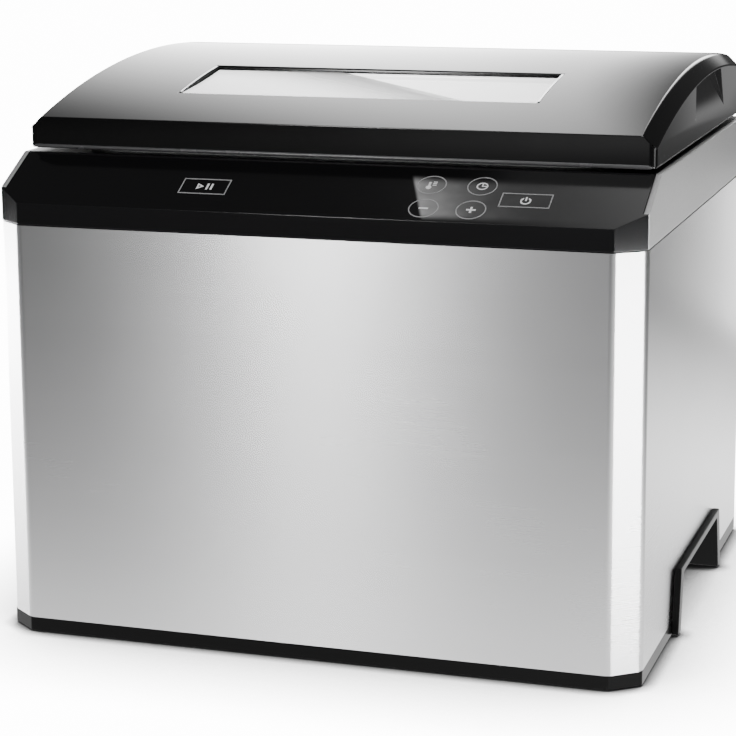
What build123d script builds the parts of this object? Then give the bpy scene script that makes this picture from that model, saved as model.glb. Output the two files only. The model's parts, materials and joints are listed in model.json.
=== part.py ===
from build123d import *
import os
from math import cos, radians, sin, sqrt, tan

# Countertop water bath for cooking vacuum-packed food. Millimetres, +Z up, front towards -Y.
# The origin is the middle of the footprint, on the surface that the feet stand on.

os.makedirs("parts", exist_ok=True)

# Body: a folded steel casing on a plastic base
width = 360.0
depth = 310.0
foot_height = 1.2
base_top = 8.6
casing_top = 230.8
casing_wall = 0.8
casing_bend = 6.0
corner_x = 15.5
corner_y = 12.4
hem_width = 14.0
base_plate = 3.0
base_wall = 3.0
base_bend = 2.0
rear_panel_wall = 1.0
rear_recess = 2.5
fit_gap = 0.3

# Control panel, deck and side trims
band_top = 243.2
panel_angle = radians(27.6)
panel_run = 42.9
fascia_wall = 2.5
trim_width = 3.0
trim_gap = 0.6
deck_wall = 2.5
deck_plate = 4.5
boss_radius = 3.5

# Tub
tub_side_margin = 33.0
tub_setback = 64.0
tub_rear_margin = 26.0
tub_floor = 78.0
tub_wall = 1.0
tub_corner = 22.0
tub_floor_bend = 6.0
flange_width = 9.0
flange_thickness = 0.8
gasket_thickness = 1.2
jacket_thickness = 6.0
jacket_clearance = 2.0
jacket_top = 252.0

# Lid
lid_gap = 2.0
lid_side_margin = 3.0
lid_setback = 44.0
lid_rear_setback = 1.5
lid_height = 42.37
lid_front_height = 17.41
arch_peak_margin = 90.0
lid_wall = 2.7
lid_bevel = 7.0
lid_corner = 4.0
lid_rear_round = 6.5
liner_wall = 2.0
plug_depth = 8.0
plug_clearance = 4.0
window_length = 208.0
window_front = 87.0
window_span = 59.0
pane_thickness = 3.0
pane_overlap = 4.0
window_gasket_thickness = 0.5
well_wall = 1.6
recess_front = 157.0
recess_top_margin = 71.0
recess_bottom_margin = 59.0
recess_bottom_height = 11.37
recess_depth = 7.0
recess_ceiling = 1.0

# Hand grips in the sides of the base
grip_front = 102.0
grip_rear_margin = 85.0
grip_height = 33.5
grip_lean = 7.0
grip_depth = 30.0
grip_wall = 2.2
grip_leg = 8.0
grip_bar = 4.0
grip_proud = 4.0

# Keys on the sloping panel: x from the panel's end, s up the slope, then length and height
print_thickness = 0.15
print_line = 0.6
key_ring_radius = 8.0
start_key = (117.5 - width / 2, 21.9, 27.0, 13.5)
standby_key = (width / 2 - 65.4, 21.0, 27.0, 12.0)
temperature_key = (width / 2 - 118.3, 31.4)
time_key = (width / 2 - 91.0, 31.9)
minus_key = (width / 2 - 117.5, 10.9)
plus_key = (width / 2 - 92.2, 11.1)

# Heating, pump and electronics
heater_side_margin = 32.0
heater_rear_margin = 54.0
heater_thickness = 4.0
heater_margin = 26.0
clamp_thickness = 1.2
clamp_margin = 12.0
clamp_slot_inset = 30.0
clamp_slot_span = 30.0
stud_margin = 6.0
stud_inset = 15.0
stud_radius = 2.0
stud_length = 6.0
nut_radius = 4.0
nut_height = 3.2
cutout_inset = 40.0
cutout_radius = 8.0
cutout_height = 7.0
pump_x = 60.0
pump_rear_margin = 54.0
pump_pad = 3.8
motor_radius = 21.0
motor_height = 26.0
volute_radius = 24.0
volute_height = 16.0
volute_wall = 3.0
shaft_radius = 1.5
running_gap = 0.05
impeller_radius = 16.0
spigot_radius = 5.0
spigot_bore = 3.2
hose_wall = 2.0
outlet_height = 101.0
drain_radius = 6.0
fitting_rim = 3.0
grille_height = 14.0
grille_wall = 1.2
rack_side_margin = 13.0
rack_end_margin = 17.0
rack_wire = 1.5
rack_rail = 2.2
rack_bend = 12.0
rack_height = 112.0
handle_rise = 14.0
rack_slots = 6
board_thickness = 1.6

half_w = width / 2
front = -depth / 2
rear = depth / 2
tub_length = width - 2 * tub_side_margin
tub_span = depth - tub_setback - tub_rear_margin
grip_span = depth - grip_front - grip_rear_margin
heater_length = tub_length - 2 * heater_side_margin
rack_length = tub_length - 2 * rack_side_margin
rack_span = tub_span - 2 * rack_end_margin
deck_top = band_top + panel_run * tan(panel_angle)
base_floor = foot_height + base_plate
tub_front = front + tub_setback
tub_rear = tub_front + tub_span
tub_middle = (tub_front + tub_rear) / 2
lid_bottom = deck_top + lid_gap
lid_half = half_w - lid_side_margin
lid_front = front + lid_setback
lid_rear = rear - lid_rear_setback
arch_y = rear - arch_peak_margin
arch_peak = lid_bottom + lid_height
arch_drop = lid_height - lid_front_height
arch_radius = ((arch_y - lid_front) ** 2 + arch_drop**2) / (2 * arch_drop)
arch_z = arch_peak - arch_radius
recess_bottom = lid_bottom + recess_bottom_height
jacket_bottom = outlet_height + drain_radius + fitting_rim + jacket_clearance
hem_back = rear - rear_recess - rear_panel_wall
panel_plane = Plane(
    origin=(0, front, band_top),
    x_dir=(1, 0, 0),
    z_dir=(0, -sin(panel_angle), cos(panel_angle)),
)

pieces = {}


def box(x0, x1, y0, y1, z0, z1):
    middle = Pos((x0 + x1) / 2, (y0 + y1) / 2, (z0 + z1) / 2)
    return middle * Box(x1 - x0, y1 - y0, z1 - z0)


def post(x, y, z0, z1, radius):
    return Pos(x, y, (z0 + z1) / 2) * Cylinder(radius, z1 - z0)


def bar_y(x, y0, y1, z, radius):
    return Pos(x, (y0 + y1) / 2, z) * Rot(90, 0, 0) * Cylinder(radius, y1 - y0)


def prism_x(points, x0, x1):
    face = make_face(Polyline(*points, close=True))
    return extrude(Plane.YZ.offset(x0) * face, x1 - x0)


def prism_y(points, y0, y1):
    face = make_face(Polyline(*points, close=True))
    return extrude(Plane.XZ.offset(-y0) * face, y0 - y1)


def slab(face, z0, z1):
    return extrude(Pos(0, 0, z0) * face, z1 - z0)


def both_sides(shape):
    return shape + mirror(shape, about=Plane.YZ)


def round_box(x0, x1, y0, y1, z0, z1, radius):
    face = Pos((x0 + x1) / 2, (y0 + y1) / 2) * RectangleRounded(x1 - x0, y1 - y0, radius)
    return slab(face, z0, z1)


# The outline seen from above, moved inwards: flat front, two facets, straight sides, open to the rear
def footprint(inset, bend, rear_y):
    slant = sqrt(corner_x**2 + corner_y**2)
    along = inset * (slant - corner_x) / corner_y
    back = inset * (slant - corner_y) / corner_x
    front_x = half_w - corner_x + (along * corner_x - inset * corner_y) / slant
    side_y = front + corner_y + (inset * corner_x - back * corner_y) / slant
    side_x = half_w - inset
    right = [(front_x, front + inset), (side_x, side_y), (side_x, rear_y)]
    left = [(-x, y) for x, y in reversed(right)]
    face = make_face(Polyline(*right, *left, close=True))
    if bend > 0:
        corners = face.vertices().filter_by(lambda v: v.Y < rear_y - 1)
        face = fillet(corners, bend)
    return face


# Height of the sloping panel's surface, moved inwards, at a distance behind the front face
def slope_z(y, inset):
    return band_top + (y - front) * tan(panel_angle) - inset / cos(panel_angle)


# Side view of the front band and the slope, moved inwards, up to crest_y and then level
def hood_section(inset, bottom_z, crest_y, top_z, rear_y):
    points = [
        (front + inset, bottom_z),
        (front + inset, slope_z(front + inset, inset)),
        (crest_y, slope_z(crest_y, inset)),
    ]
    if abs(top_z - slope_z(crest_y, inset)) > 0.01:
        points.append((crest_y, top_z))
    return points + [(rear_y, top_z), (rear_y, bottom_z)]


# The hand opening seen from the side, grown by a leg width and a bar height
def grip_outline(leg, bar, bottom_z):
    y0 = front + grip_front
    y1 = y0 + grip_span
    return [
        (y0 - leg, bottom_z),
        (y0 + grip_lean - leg, grip_height + bar),
        (y1 - grip_lean + leg, grip_height + bar),
        (y1 + leg, bottom_z),
    ]


sleeve_outline = grip_outline(grip_wall, grip_wall, foot_height)
sleeve_room = grip_outline(grip_wall + fit_gap, grip_wall + fit_gap, foot_height - 1)
grip_back = half_w - grip_depth

# Screws
screw_front_margin = 40.0
screw_rear_margin = 24.0
screw_side_margin = 60.0
screw_to_grip = 26.0
grip_to_screw = 19.0
side_screw_y = [
    front + screw_front_margin,
    front + grip_front - screw_to_grip,
    rear - grip_rear_margin + grip_to_screw,
    rear - screw_rear_margin,
]
front_screw_x = [screw_side_margin - half_w, 0.0, half_w - screw_side_margin]
side_screw_x = half_w - hem_width / 2
front_screw_y = front + hem_width / 2
hem_spots = [(sign * side_screw_x, y) for sign in (-1, 1) for y in side_screw_y]
hem_spots += [(x, front_screw_y) for x in front_screw_x]
screw_radius = 1.45
screw_hole = 1.6
screw_head_radius = 3.1
screw_head = 1.8
rear_screw_z = [28.0, 120.0, 212.0]


def make_casing():
    height = casing_top - base_top
    shell = slab(footprint(0, casing_bend, rear), base_top, casing_top)
    room = slab(
        footprint(casing_wall, casing_bend - casing_wall, hem_back - casing_wall),
        base_top + casing_wall,
        casing_top - casing_wall,
    )
    mouth = slab(footprint(hem_width, 0, rear + 1), base_top - 1, base_top + height + 1)
    side_x = half_w - casing_wall
    recess = box(-side_x, side_x, hem_back, rear + 1, base_top - 1, casing_top + 1)
    casing = shell - room - mouth - recess
    casing -= both_sides(prism_x(sleeve_room, grip_back, half_w + 1))
    for x, y in hem_spots:
        casing -= post(x, y, base_top - 1, base_top + casing_wall + 1, screw_hole)
        casing -= post(x, y, casing_top - casing_wall - 1, casing_top + 1, screw_hole)
    for sign in (-1, 1):
        for z in rear_screw_z:
            casing -= bar_y(sign * side_screw_x, hem_back - 2, hem_back + 1, z, screw_hole)
    pieces["outer_casing"] = casing


foot_radius = 10.0
foot_stem = 3.0
foot_recess = 1.4
foot_inset = 36.0
foot_spots = [
    (sign_x * (half_w - foot_inset), sign_y * (rear - foot_inset))
    for sign_x in (-1, 1)
    for sign_y in (-1, 1)
]


def make_base():
    tray = slab(footprint(0, base_bend, rear), foot_height, base_top)
    tray -= slab(footprint(base_wall, 0, rear - base_wall), base_floor, base_top + 1)
    lip_outer = hem_width + fit_gap
    lip = slab(footprint(lip_outer, 0, hem_back - casing_wall - fit_gap), base_floor, base_top + base_wall)
    lip -= slab(
        footprint(lip_outer + base_wall, 0, hem_back - casing_wall - fit_gap - base_wall),
        base_floor - 1,
        base_top + base_wall + 1,
    )
    tray += lip
    for x, y in hem_spots:
        tray += post(x, y, base_floor, base_top, boss_radius)
    for x, y in hem_spots:
        tray -= post(x, y, foot_height - 1, base_top + 1, screw_hole)
        tray -= post(x, y, foot_height - 1, foot_height + screw_head, screw_head_radius + fit_gap)
    inner_x = grip_back - grip_wall - fit_gap
    pocket = grip_outline(grip_wall + fit_gap, grip_wall, foot_height - 1)
    tray -= both_sides(prism_x(pocket, inner_x, half_w + 1))
    for x, y in foot_spots:
        tray -= post(x, y, foot_height - 1, foot_height + foot_recess, foot_radius + fit_gap)
        tray -= post(x, y, foot_height, base_floor + 1, foot_stem + fit_gap)
    pieces["base_tray"] = tray

    feet = []
    for x, y in foot_spots:
        foot = post(x, y, 0, foot_height + foot_recess, foot_radius)
        foot = fillet(foot.edges().sort_by(Axis.Z)[0], foot_height / 2)
        foot += post(x, y, foot_height + foot_recess, base_floor + 2, foot_stem)
        foot += post(x, y, base_floor + fit_gap / 2, base_floor + 2, foot_stem + 1)
        feet.append(foot)
    pieces["rubber_feet"] = Compound(children=feet)

    screws = []
    for x, y in hem_spots:
        screw = post(x, y, foot_height + 0.2, foot_height + screw_head, screw_head_radius)
        screw += post(x, y, foot_height + screw_head, base_top + 4, screw_radius)
        screws.append(screw)
    pieces["base_screws"] = Compound(children=screws)


def make_grips():
    outer = grip_outline(grip_leg, grip_bar, foot_height)
    opening = grip_outline(0, 0, foot_height - 1)
    bezel = prism_x(outer, half_w, half_w + grip_proud)
    sleeve = prism_x(sleeve_outline, grip_back - grip_wall, half_w)
    cup = bezel + sleeve - prism_x(opening, grip_back, half_w + grip_proud + 1)
    pieces["hand_grip_right"] = cup
    pieces["hand_grip_left"] = mirror(cup, about=Plane.YZ)


# Mains inlet and rear panel
inlet_x = 60.0 - half_w
inlet_z = 42.0
inlet_length = 24.2
inlet_height = 16.2
inlet_wall = 1.6
inlet_flange = 3.0
inlet_depth = 22.0
inlet_floor = 17.0
pin_pitch = 7.0
pin_size = (2.0, 4.0, 13.0)
vent_width = 3.0
vent_height = 26.0
vent_pitch = 9.0
vent_count = 15
vent_x = 55.0
vent_rows = [34.0, 190.0]


def make_rear():
    side_x = half_w - casing_wall - fit_gap
    back_y = hem_back + rear_panel_wall
    panel = box(-side_x, side_x, hem_back, back_y, base_top + fit_gap, casing_top - fit_gap)
    slots = []
    for z in vent_rows:
        for i in range(vent_count):
            x = vent_x + (i - (vent_count - 1) / 2) * vent_pitch
            slot = Pos(x, z + vent_height / 2) * SlotOverall(vent_height, vent_width, rotation=90)
            slots.append(extrude(Plane.XZ.offset(-(hem_back - 1)) * slot, -(rear_panel_wall + 2)))
    panel -= slots
    for sign in (-1, 1):
        for z in rear_screw_z:
            panel -= bar_y(sign * side_screw_x, hem_back - 1, hem_back + 3, z, screw_hole)
    body_x = inlet_length / 2 + inlet_wall
    body_z = inlet_height / 2 + inlet_wall
    panel -= box(
        inlet_x - body_x - fit_gap, inlet_x + body_x + fit_gap, hem_back - 1, hem_back + 3,
        inlet_z - body_z - fit_gap, inlet_z + body_z + fit_gap,
    )
    pieces["rear_panel"] = panel

    face_y = hem_back + rear_panel_wall
    inlet = box(
        inlet_x - body_x, inlet_x + body_x, face_y - inlet_depth, face_y,
        inlet_z - body_z, inlet_z + body_z,
    )
    inlet += box(
        inlet_x - body_x - inlet_flange, inlet_x + body_x + inlet_flange, face_y, face_y + rear_recess - 0.3,
        inlet_z - body_z - inlet_flange, inlet_z + body_z + inlet_flange,
    )
    floor_y = face_y + rear_recess - inlet_floor
    inlet -= box(
        inlet_x - inlet_length / 2, inlet_x + inlet_length / 2, floor_y, rear + 1,
        inlet_z - inlet_height / 2, inlet_z + inlet_height / 2,
    )
    pins = []
    pin_width, pin_height, pin_length = pin_size
    for i in (-1, 0, 1):
        x = inlet_x + i * pin_pitch
        z = inlet_z - inlet_height / 2 + 4 + (1 - abs(i)) * 2
        tail = 8.0
        pin = box(x - pin_width / 2, x + pin_width / 2, floor_y - tail, floor_y + pin_length, 0, pin_height)
        pins.append(Pos(0, 0, z - pin_height / 2) * pin)
        grow = running_gap
        inlet -= box(
            x - pin_width / 2 - grow, x + pin_width / 2 + grow, floor_y - tail - 1, floor_y + 1,
            z - pin_height / 2 - grow, z + pin_height / 2 + grow,
        )
    pieces["power_inlet"] = inlet
    pieces["inlet_pins"] = Compound(children=pins)

    screws = []
    for sign in (-1, 1):
        for z in rear_screw_z:
            x = sign * side_screw_x
            screw = bar_y(x, face_y, face_y + screw_head, z, screw_head_radius)
            screw += bar_y(x, face_y - 7, face_y, z, screw_radius)
            screws.append(screw)
    pieces["rear_screws"] = Compound(children=screws)


opening_x = tub_length / 2 + tub_wall + fit_gap + 0.7
ledge_x = tub_length / 2 + tub_wall + flange_width + fit_gap
opening_grow = opening_x - tub_length / 2
ledge_grow = ledge_x - tub_length / 2
board_window = (84.0 - half_w, half_w - 40.0, 6.0, 40.0)
board_rest = fascia_wall + deck_wall
board_posts = 7.0
board_margin = 12.0
post_margin = 7.0
post_inset = 6.0
post_spots = [
    (x, s)
    for x in (board_window[0] - post_margin, board_window[1] + post_margin)
    for s in (board_window[2] + post_inset, board_window[3] - post_inset + 1)
]


def make_deck():
    crest = front + panel_run + fit_gap
    side = half_w - trim_width
    outer = prism_x(hood_section(fascia_wall, casing_top, crest, deck_top, rear), -side, side)
    outer &= slab(footprint(fascia_wall, 0, rear + 1), casing_top - 1, deck_top + 1)
    inset = fascia_wall + deck_wall
    ceiling = deck_top - deck_plate
    knee = front + panel_run - (fascia_wall + deck_wall) / 2
    hollow = hood_section(inset, casing_top - 1, knee, ceiling, rear - deck_wall)
    inner = prism_x(hollow, -(side - deck_wall), side - deck_wall)
    inner &= slab(footprint(inset, 0, rear + 1), casing_top - 2, deck_top + 1)
    deck = outer - inner
    # the seat flange stands on the casing's top hem
    seat = slab(footprint(inset - deck_wall, 0, rear), casing_top, casing_top + deck_wall)
    seat -= slab(footprint(hem_width, 0, hem_back - hem_width), casing_top - 1, casing_top + deck_wall + 1)
    seat &= box(-side, side, front, rear, casing_top, casing_top + deck_wall)
    deck += seat
    deck -= round_box(
        -opening_x, opening_x, tub_front - opening_grow, tub_rear + opening_grow,
        casing_top + deck_wall + 1, deck_top + 1, tub_corner + opening_grow,
    )
    ledge_z = deck_top - flange_thickness - gasket_thickness
    deck -= round_box(
        -ledge_x, ledge_x, tub_front - ledge_grow, tub_rear + ledge_grow,
        ledge_z, deck_top + 1, tub_corner + ledge_grow,
    )
    x0, x1, s0, s1 = board_window
    deck -= panel_plane * box(x0, x1, s0, s1, -board_rest - 1, -fascia_wall + 1)
    for x, y in hem_spots:
        deck += post(x, y, casing_top, casing_top + 10, boss_radius) & outer
        deck -= post(x, y, casing_top - 1, casing_top + 8, screw_hole)
    pieces["top_frame"] = deck

    screws = []
    for x, y in hem_spots:
        seat_z = casing_top - casing_wall
        screw = post(x, y, seat_z - screw_head, seat_z, screw_head_radius)
        screw += post(x, y, seat_z, casing_top + 7, screw_radius)
        screws.append(screw)
    pieces["deck_screws"] = Compound(children=screws)


def make_fascia():
    crest = front + panel_run
    low = casing_top + trim_gap
    outer = prism_x(hood_section(0, low, crest, deck_top, crest + 20), -half_w, half_w)
    outer &= slab(footprint(0, base_bend, rear), low - 1, deck_top + 1)
    inner = prism_x(hood_section(fascia_wall, low - 1, crest + 1, deck_top + 5, crest + 21), -half_w, half_w)
    inner &= slab(footprint(fascia_wall, 0, rear + 1), low - 2, deck_top + 6)
    fascia = outer - inner
    fascia -= box(-half_w - 1, half_w + 1, crest, rear, low - 1, deck_top + 1)
    trim_start = front + corner_y + fit_gap
    side = half_w - trim_width
    trim_room = box(side - fit_gap / 2, half_w + 1, trim_start - fit_gap, rear, low - 1, deck_top + 1)
    fascia -= both_sides(trim_room)
    pieces["control_fascia"] = fascia

    trim = prism_x(hood_section(0, low, crest, deck_top, rear), side, half_w)
    trim &= box(side, half_w, trim_start, rear, low, deck_top + 1)
    trim = fillet(trim.edges().filter_by(Axis.Z).group_by(Axis.Y)[0].sort_by(Axis.X)[-1], 1.2)
    pieces["side_trim_right"] = trim
    pieces["side_trim_left"] = mirror(trim, about=Plane.YZ)


# Printed marks: thin solids on the sloping panel
def on_panel(face):
    return extrude(panel_plane * face, print_thickness)


def frame_face(x, s, length, height):
    hollow = Rectangle(length - 2 * print_line, height - 2 * print_line)
    return Pos(x, s) * (Rectangle(length, height) - hollow)


def ring_face(x, s, radius):
    return Pos(x, s) * (Circle(radius) - Circle(radius - print_line))


def make_marks():
    marks = [on_panel(frame_face(*start_key)), on_panel(frame_face(*standby_key))]
    for x, s in (temperature_key, time_key, minus_key, plus_key):
        marks.append(on_panel(ring_face(x, s, key_ring_radius)))
    line = 1.1
    # start and pause: an open triangle and two bars
    x, s, _, _ = start_key
    triangle = make_face(Polyline((0, -2.6), (0, 2.6), (3.9, 0), close=True))
    hollow = Pos(0.9, 0) * make_face(Polyline((0, -1.1), (0, 1.1), (1.6, 0), close=True))
    marks.append(on_panel(Pos(x - 4.4, s) * (triangle - hollow)))
    for shift in (1.6, 4.0):
        marks.append(on_panel(Pos(x + shift, s) * Rectangle(line, 5.2)))
    # standby: a broken circle with a bar in its gap
    x, s, _, _ = standby_key
    circle = Circle(2.9) - Circle(2.9 - line * 0.8) - Pos(0, 2.4) * Rectangle(2.6, 2.6)
    marks.append(on_panel(Pos(x, s - 0.4) * circle))
    marks.append(on_panel(Pos(x, s + 1.4) * Rectangle(line * 0.8, 3.2)))
    # minus and plus
    x, s = minus_key
    marks.append(on_panel(Pos(x, s) * Rectangle(5.0, line)))
    x, s = plus_key
    marks.append(on_panel(Pos(x, s) * (Rectangle(5.0, line) + Rectangle(line, 5.0))))
    # temperature: a bulb with a stem and three ticks
    x, s = temperature_key
    stem = Circle(1.5) + Pos(0, 2.4) * Rectangle(1.2, 4.4)
    marks.append(on_panel(Pos(x - 1.2, s - 2.2) * stem))
    for i in range(3):
        marks.append(on_panel(Pos(x + 1.6, s - 0.2 + i * 1.4) * Rectangle(2.0, 0.5)))
    # time: a clock face with two hands
    x, s = time_key
    clock = Circle(3.1) - Circle(2.4) + Pos(0, 0.8) * Rectangle(0.6, 2.2) + Pos(0.8, 0) * Rectangle(2.2, 0.6)
    clock += [Pos(0, 2.2) * Rectangle(0.6, 0.9), Pos(2.2, 0) * Rectangle(0.9, 0.6)]
    marks.append(on_panel(Pos(x, s) * clock))
    solids = [solid for mark in marks for solid in mark.solids()]
    pieces["key_marks"] = Compound(children=solids)


display_spot = (-10.0, 22.0)
display_size = (64.0, 24.0, 6.0)
post_radius = 3.0
small_head_radius = 2.8
bolt_reach = 5.0
chip_height = 2.0
main_chip = (100.0, 1.0, 14.0, 14.0)
driver_chip = (185.0, 3.0, 10.0, 7.0)
touch_chip = (50.0, 1.0, 10.0, 7.0)
buzzer_spot = (22.0, 3.0)
buzzer_radius = 6.0
buzzer_height = 5.0


def make_electronics():
    x0, x1, s0, s1 = board_window
    top = -fascia_wall
    touch = box(x0 + 1, x1 - 1, s0 + 1, s1 - 1, top - board_thickness, top)
    dx, ds = display_spot
    dl, dh, dt = display_size
    touch -= Pos(dx, ds, top) * Box(dl + 1, dh + 1, 10)
    pieces["touch_board"] = panel_plane * touch
    display = Pos(dx, ds, top - dt / 2) * Box(dl, dh, dt)
    pieces["display_module"] = panel_plane * display

    # the control board hangs from four posts under the deck's slope
    board_top = -board_rest - board_posts
    board = box(x0 - board_margin, x1 + board_margin, s0 + 1, s1, board_top - board_thickness, board_top)
    posts, screws = [], []
    for x, s in post_spots:
        board -= post(x, s, board_top - 5, board_top + 1, screw_hole)
        stud = extrude(Pos(x, s, board_top) * RegularPolygon(post_radius, 6), board_posts)
        stud -= post(x, s, board_top - 1, board_top + bolt_reach + 1, screw_hole)
        posts.append(panel_plane * stud)
        under = board_top - board_thickness
        screw = post(x, s, under - screw_head, under, small_head_radius)
        screw += post(x, s, under, board_top + bolt_reach, screw_radius)
        screws.append(panel_plane * screw)
    pieces["control_board"] = panel_plane * board
    pieces["board_posts"] = Compound(children=posts)
    pieces["board_screws"] = Compound(children=screws)
    middle = (s0 + s1) / 2
    chips = []
    for from_end, drop, length, height in (main_chip, driver_chip, touch_chip):
        spot = Pos(x1 - from_end, middle - drop, board_top + chip_height / 2)
        chips.append(panel_plane * spot * Box(length, height, chip_height))
    pieces["board_chips"] = Compound(children=chips)
    from_end, drop = buzzer_spot
    x, s = x1 - from_end, middle - drop
    buzzer = post(x, s, board_top, board_top + buzzer_height, buzzer_radius)
    buzzer -= post(x, s, board_top + buzzer_height / 2, board_top + buzzer_height + 1, buzzer_radius / 6)
    pieces["buzzer"] = panel_plane * buzzer


# Mains board on the base tray
power_length = 110.0
power_span = 84.0
power_margin = 10.0
power_setback = 95.0
power_x = power_margin + power_length / 2 - grip_back
power_y = front + power_setback
standoff_height = 8.0
pillar_inset = 5.0
relay_size = (28.0, 16.0, 16.0)
relay_spot = (-32.0, 22.0)
coil_size = (32.0, 26.0, 26.0)
coil_spot = (-22.0, -14.0)
can_radius = 6.0
can_height = 22.0
can_spot = (8.0, 24.0)
sink_size = (28.0, 32.0, 3.0)
sink_spot = (32.0, 14.0)
fin_count = 5
fin_pitch = 6.0
fin_wall = 1.5
fin_top = 22.0
block_size = (40.0, 14.0, 12.0)
block_spot = (30.0, -24.0)
block_ways = 5
block_pitch = 8.0
block_bore = 2.2


def make_power_board():
    z0 = base_floor + standoff_height
    top = z0 + board_thickness
    board = Pos(power_x, power_y, z0 + board_thickness / 2) * Box(power_length, power_span, board_thickness)
    reach_x = power_length / 2 - pillar_inset
    reach_y = power_span / 2 - pillar_inset
    spots = [(power_x + i * reach_x, power_y + j * reach_y) for i in (-1, 1) for j in (-1, 1)]
    screws = []
    for x, y in spots:
        board -= post(x, y, z0 - 1, top + 1, screw_hole)
        pillar = post(x, y, base_floor, z0, boss_radius) - post(x, y, base_floor + 1, z0 + 1, screw_hole)
        pieces["base_tray"] += pillar
        head = post(x, y, top, top + screw_head, small_head_radius)
        screws.append(head + post(x, y, z0 - bolt_reach, top, screw_radius))
    pieces["power_board"] = board
    pieces["power_board_screws"] = Compound(children=screws)

    def on_board(spot, size):
        return Pos(power_x + spot[0], power_y + spot[1], top + size[2] / 2) * Box(*size)

    pieces["relay"] = on_board(relay_spot, relay_size)
    pieces["transformer"] = on_board(coil_spot, coil_size)
    can_x, can_y = power_x + can_spot[0], power_y + can_spot[1]
    pieces["capacitor"] = post(can_x, can_y, top, top + can_height, can_radius)
    sink = on_board(sink_spot, sink_size)
    fin_height = fin_top - sink_size[2] + 1
    for i in range(fin_count):
        fin = Pos((i - (fin_count - 1) / 2) * fin_pitch, 0, sink_size[2] - 1)
        sink += fin * on_board(sink_spot, (fin_wall, sink_size[1], fin_height))
    pieces["triac_heat_sink"] = sink
    block = on_board(block_spot, block_size)
    block_x, block_y = power_x + block_spot[0], power_y + block_spot[1]
    for i in range(block_ways):
        x = block_x + (i - (block_ways - 1) / 2) * block_pitch
        block -= post(x, block_y, top + block_size[2] / 2, top + block_size[2] + 1, block_bore)
    pieces["terminal_block"] = block


def tub_box(grow, z0, z1, bend):
    shape = round_box(
        -tub_length / 2 - grow, tub_length / 2 + grow, tub_front - grow, tub_rear + grow,
        z0, z1, tub_corner + grow,
    )
    if bend > 0:
        shape = fillet(shape.faces().sort_by(Axis.Z)[0].edges(), bend)
    return shape


pump_y = rear - pump_rear_margin
outlet_x = pump_x + 14.0
outlet_y = tub_rear + tub_wall
motor_z = base_floor + pump_pad
volute_z = motor_z + motor_height
spigot_z = volute_z + volute_height
probe_x = -40.0
probe_z = tub_floor + 8.5
level_spots = [(-100.0, 128.0), (-86.0, 128.0)]
heater_y0 = tub_front + heater_margin
heater_y1 = tub_rear - heater_rear_margin
heater_z = tub_floor - tub_wall - heater_thickness
clamp_z = heater_z - clamp_thickness
stud_spots = [
    (i * (heater_length / 2 + stud_margin), y)
    for i in (-1, 1)
    for y in (heater_y0 + stud_inset, heater_y1 - stud_inset)
]


def make_tub():
    rim_z = deck_top - flange_thickness
    tub = tub_box(tub_wall, tub_floor - tub_wall, deck_top, tub_floor_bend + tub_wall)
    tub += tub_box(tub_wall + flange_width, rim_z, deck_top, 0)
    tub -= tub_box(0, tub_floor, deck_top + 1, tub_floor_bend)
    tub -= post(pump_x, pump_y, tub_floor - 3, tub_floor + 1, drain_radius + fit_gap)
    tub -= bar_y(outlet_x, outlet_y - 3, outlet_y + 1, outlet_height, drain_radius + fit_gap)
    tub -= bar_y(probe_x, tub_front - 3, tub_front + 1, probe_z, 3 + fit_gap)
    for x, z in level_spots:
        tub -= bar_y(x, tub_front - 3, tub_front + 1, z, 2 + fit_gap)
    pieces["water_tub"] = tub

    seat_z = rim_z - gasket_thickness
    gasket = tub_box(tub_wall + flange_width - 0.5, seat_z, rim_z, 0)
    pieces["tub_gasket"] = gasket - tub_box(opening_grow, seat_z - 1, rim_z + 1, 0)

    skin = tub_wall + 0.5
    jacket = tub_box(skin + jacket_thickness, jacket_bottom, jacket_top, 0)
    jacket -= tub_box(skin, jacket_bottom - 1, jacket_top + 1, 0)
    for x, z in level_spots:
        jacket -= bar_y(x, tub_front - 20, tub_front, z, 6)
    pieces["insulation_jacket"] = jacket


def make_heater():
    x = heater_length / 2
    pieces["heater_plate"] = round_box(-x, x, heater_y0, heater_y1, heater_z, heater_z + heater_thickness, 12)
    grow = clamp_margin
    clamp = round_box(-x - grow, x + grow, heater_y0, heater_y1, clamp_z, heater_z, 6)
    slot_x = x - clamp_slot_inset
    slot_y = heater_y0 + clamp_slot_inset
    clamp -= box(-slot_x, slot_x, slot_y, slot_y + clamp_slot_span, clamp_z - 1, heater_z + 1)
    studs, nuts = [], []
    for sx, sy in stud_spots:
        clamp -= post(sx, sy, clamp_z - 1, heater_z + 1, stud_radius + fit_gap)
        studs.append(post(sx, sy, clamp_z - stud_length, tub_floor - tub_wall, stud_radius))
        nut = extrude(Pos(sx, sy, clamp_z - nut_height) * RegularPolygon(nut_radius, 6), nut_height)
        nuts.append(nut - post(sx, sy, clamp_z - nut_height - 1, clamp_z + 1, stud_radius + running_gap))
    pieces["clamp_plate"] = clamp
    pieces["clamp_studs"] = Compound(children=studs)
    pieces["clamp_nuts"] = Compound(children=nuts)
    middle_y = heater_y1 - cutout_inset
    cutout = post(0, middle_y, clamp_z - cutout_height, clamp_z, cutout_radius)
    tab_x = cutout_radius * 1.5
    tab_y = cutout_radius * 0.375
    cutout += box(-tab_x, tab_x, middle_y - tab_y, middle_y + tab_y, clamp_z - 3, clamp_z - 2)
    pieces["thermal_cutout"] = cutout


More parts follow.
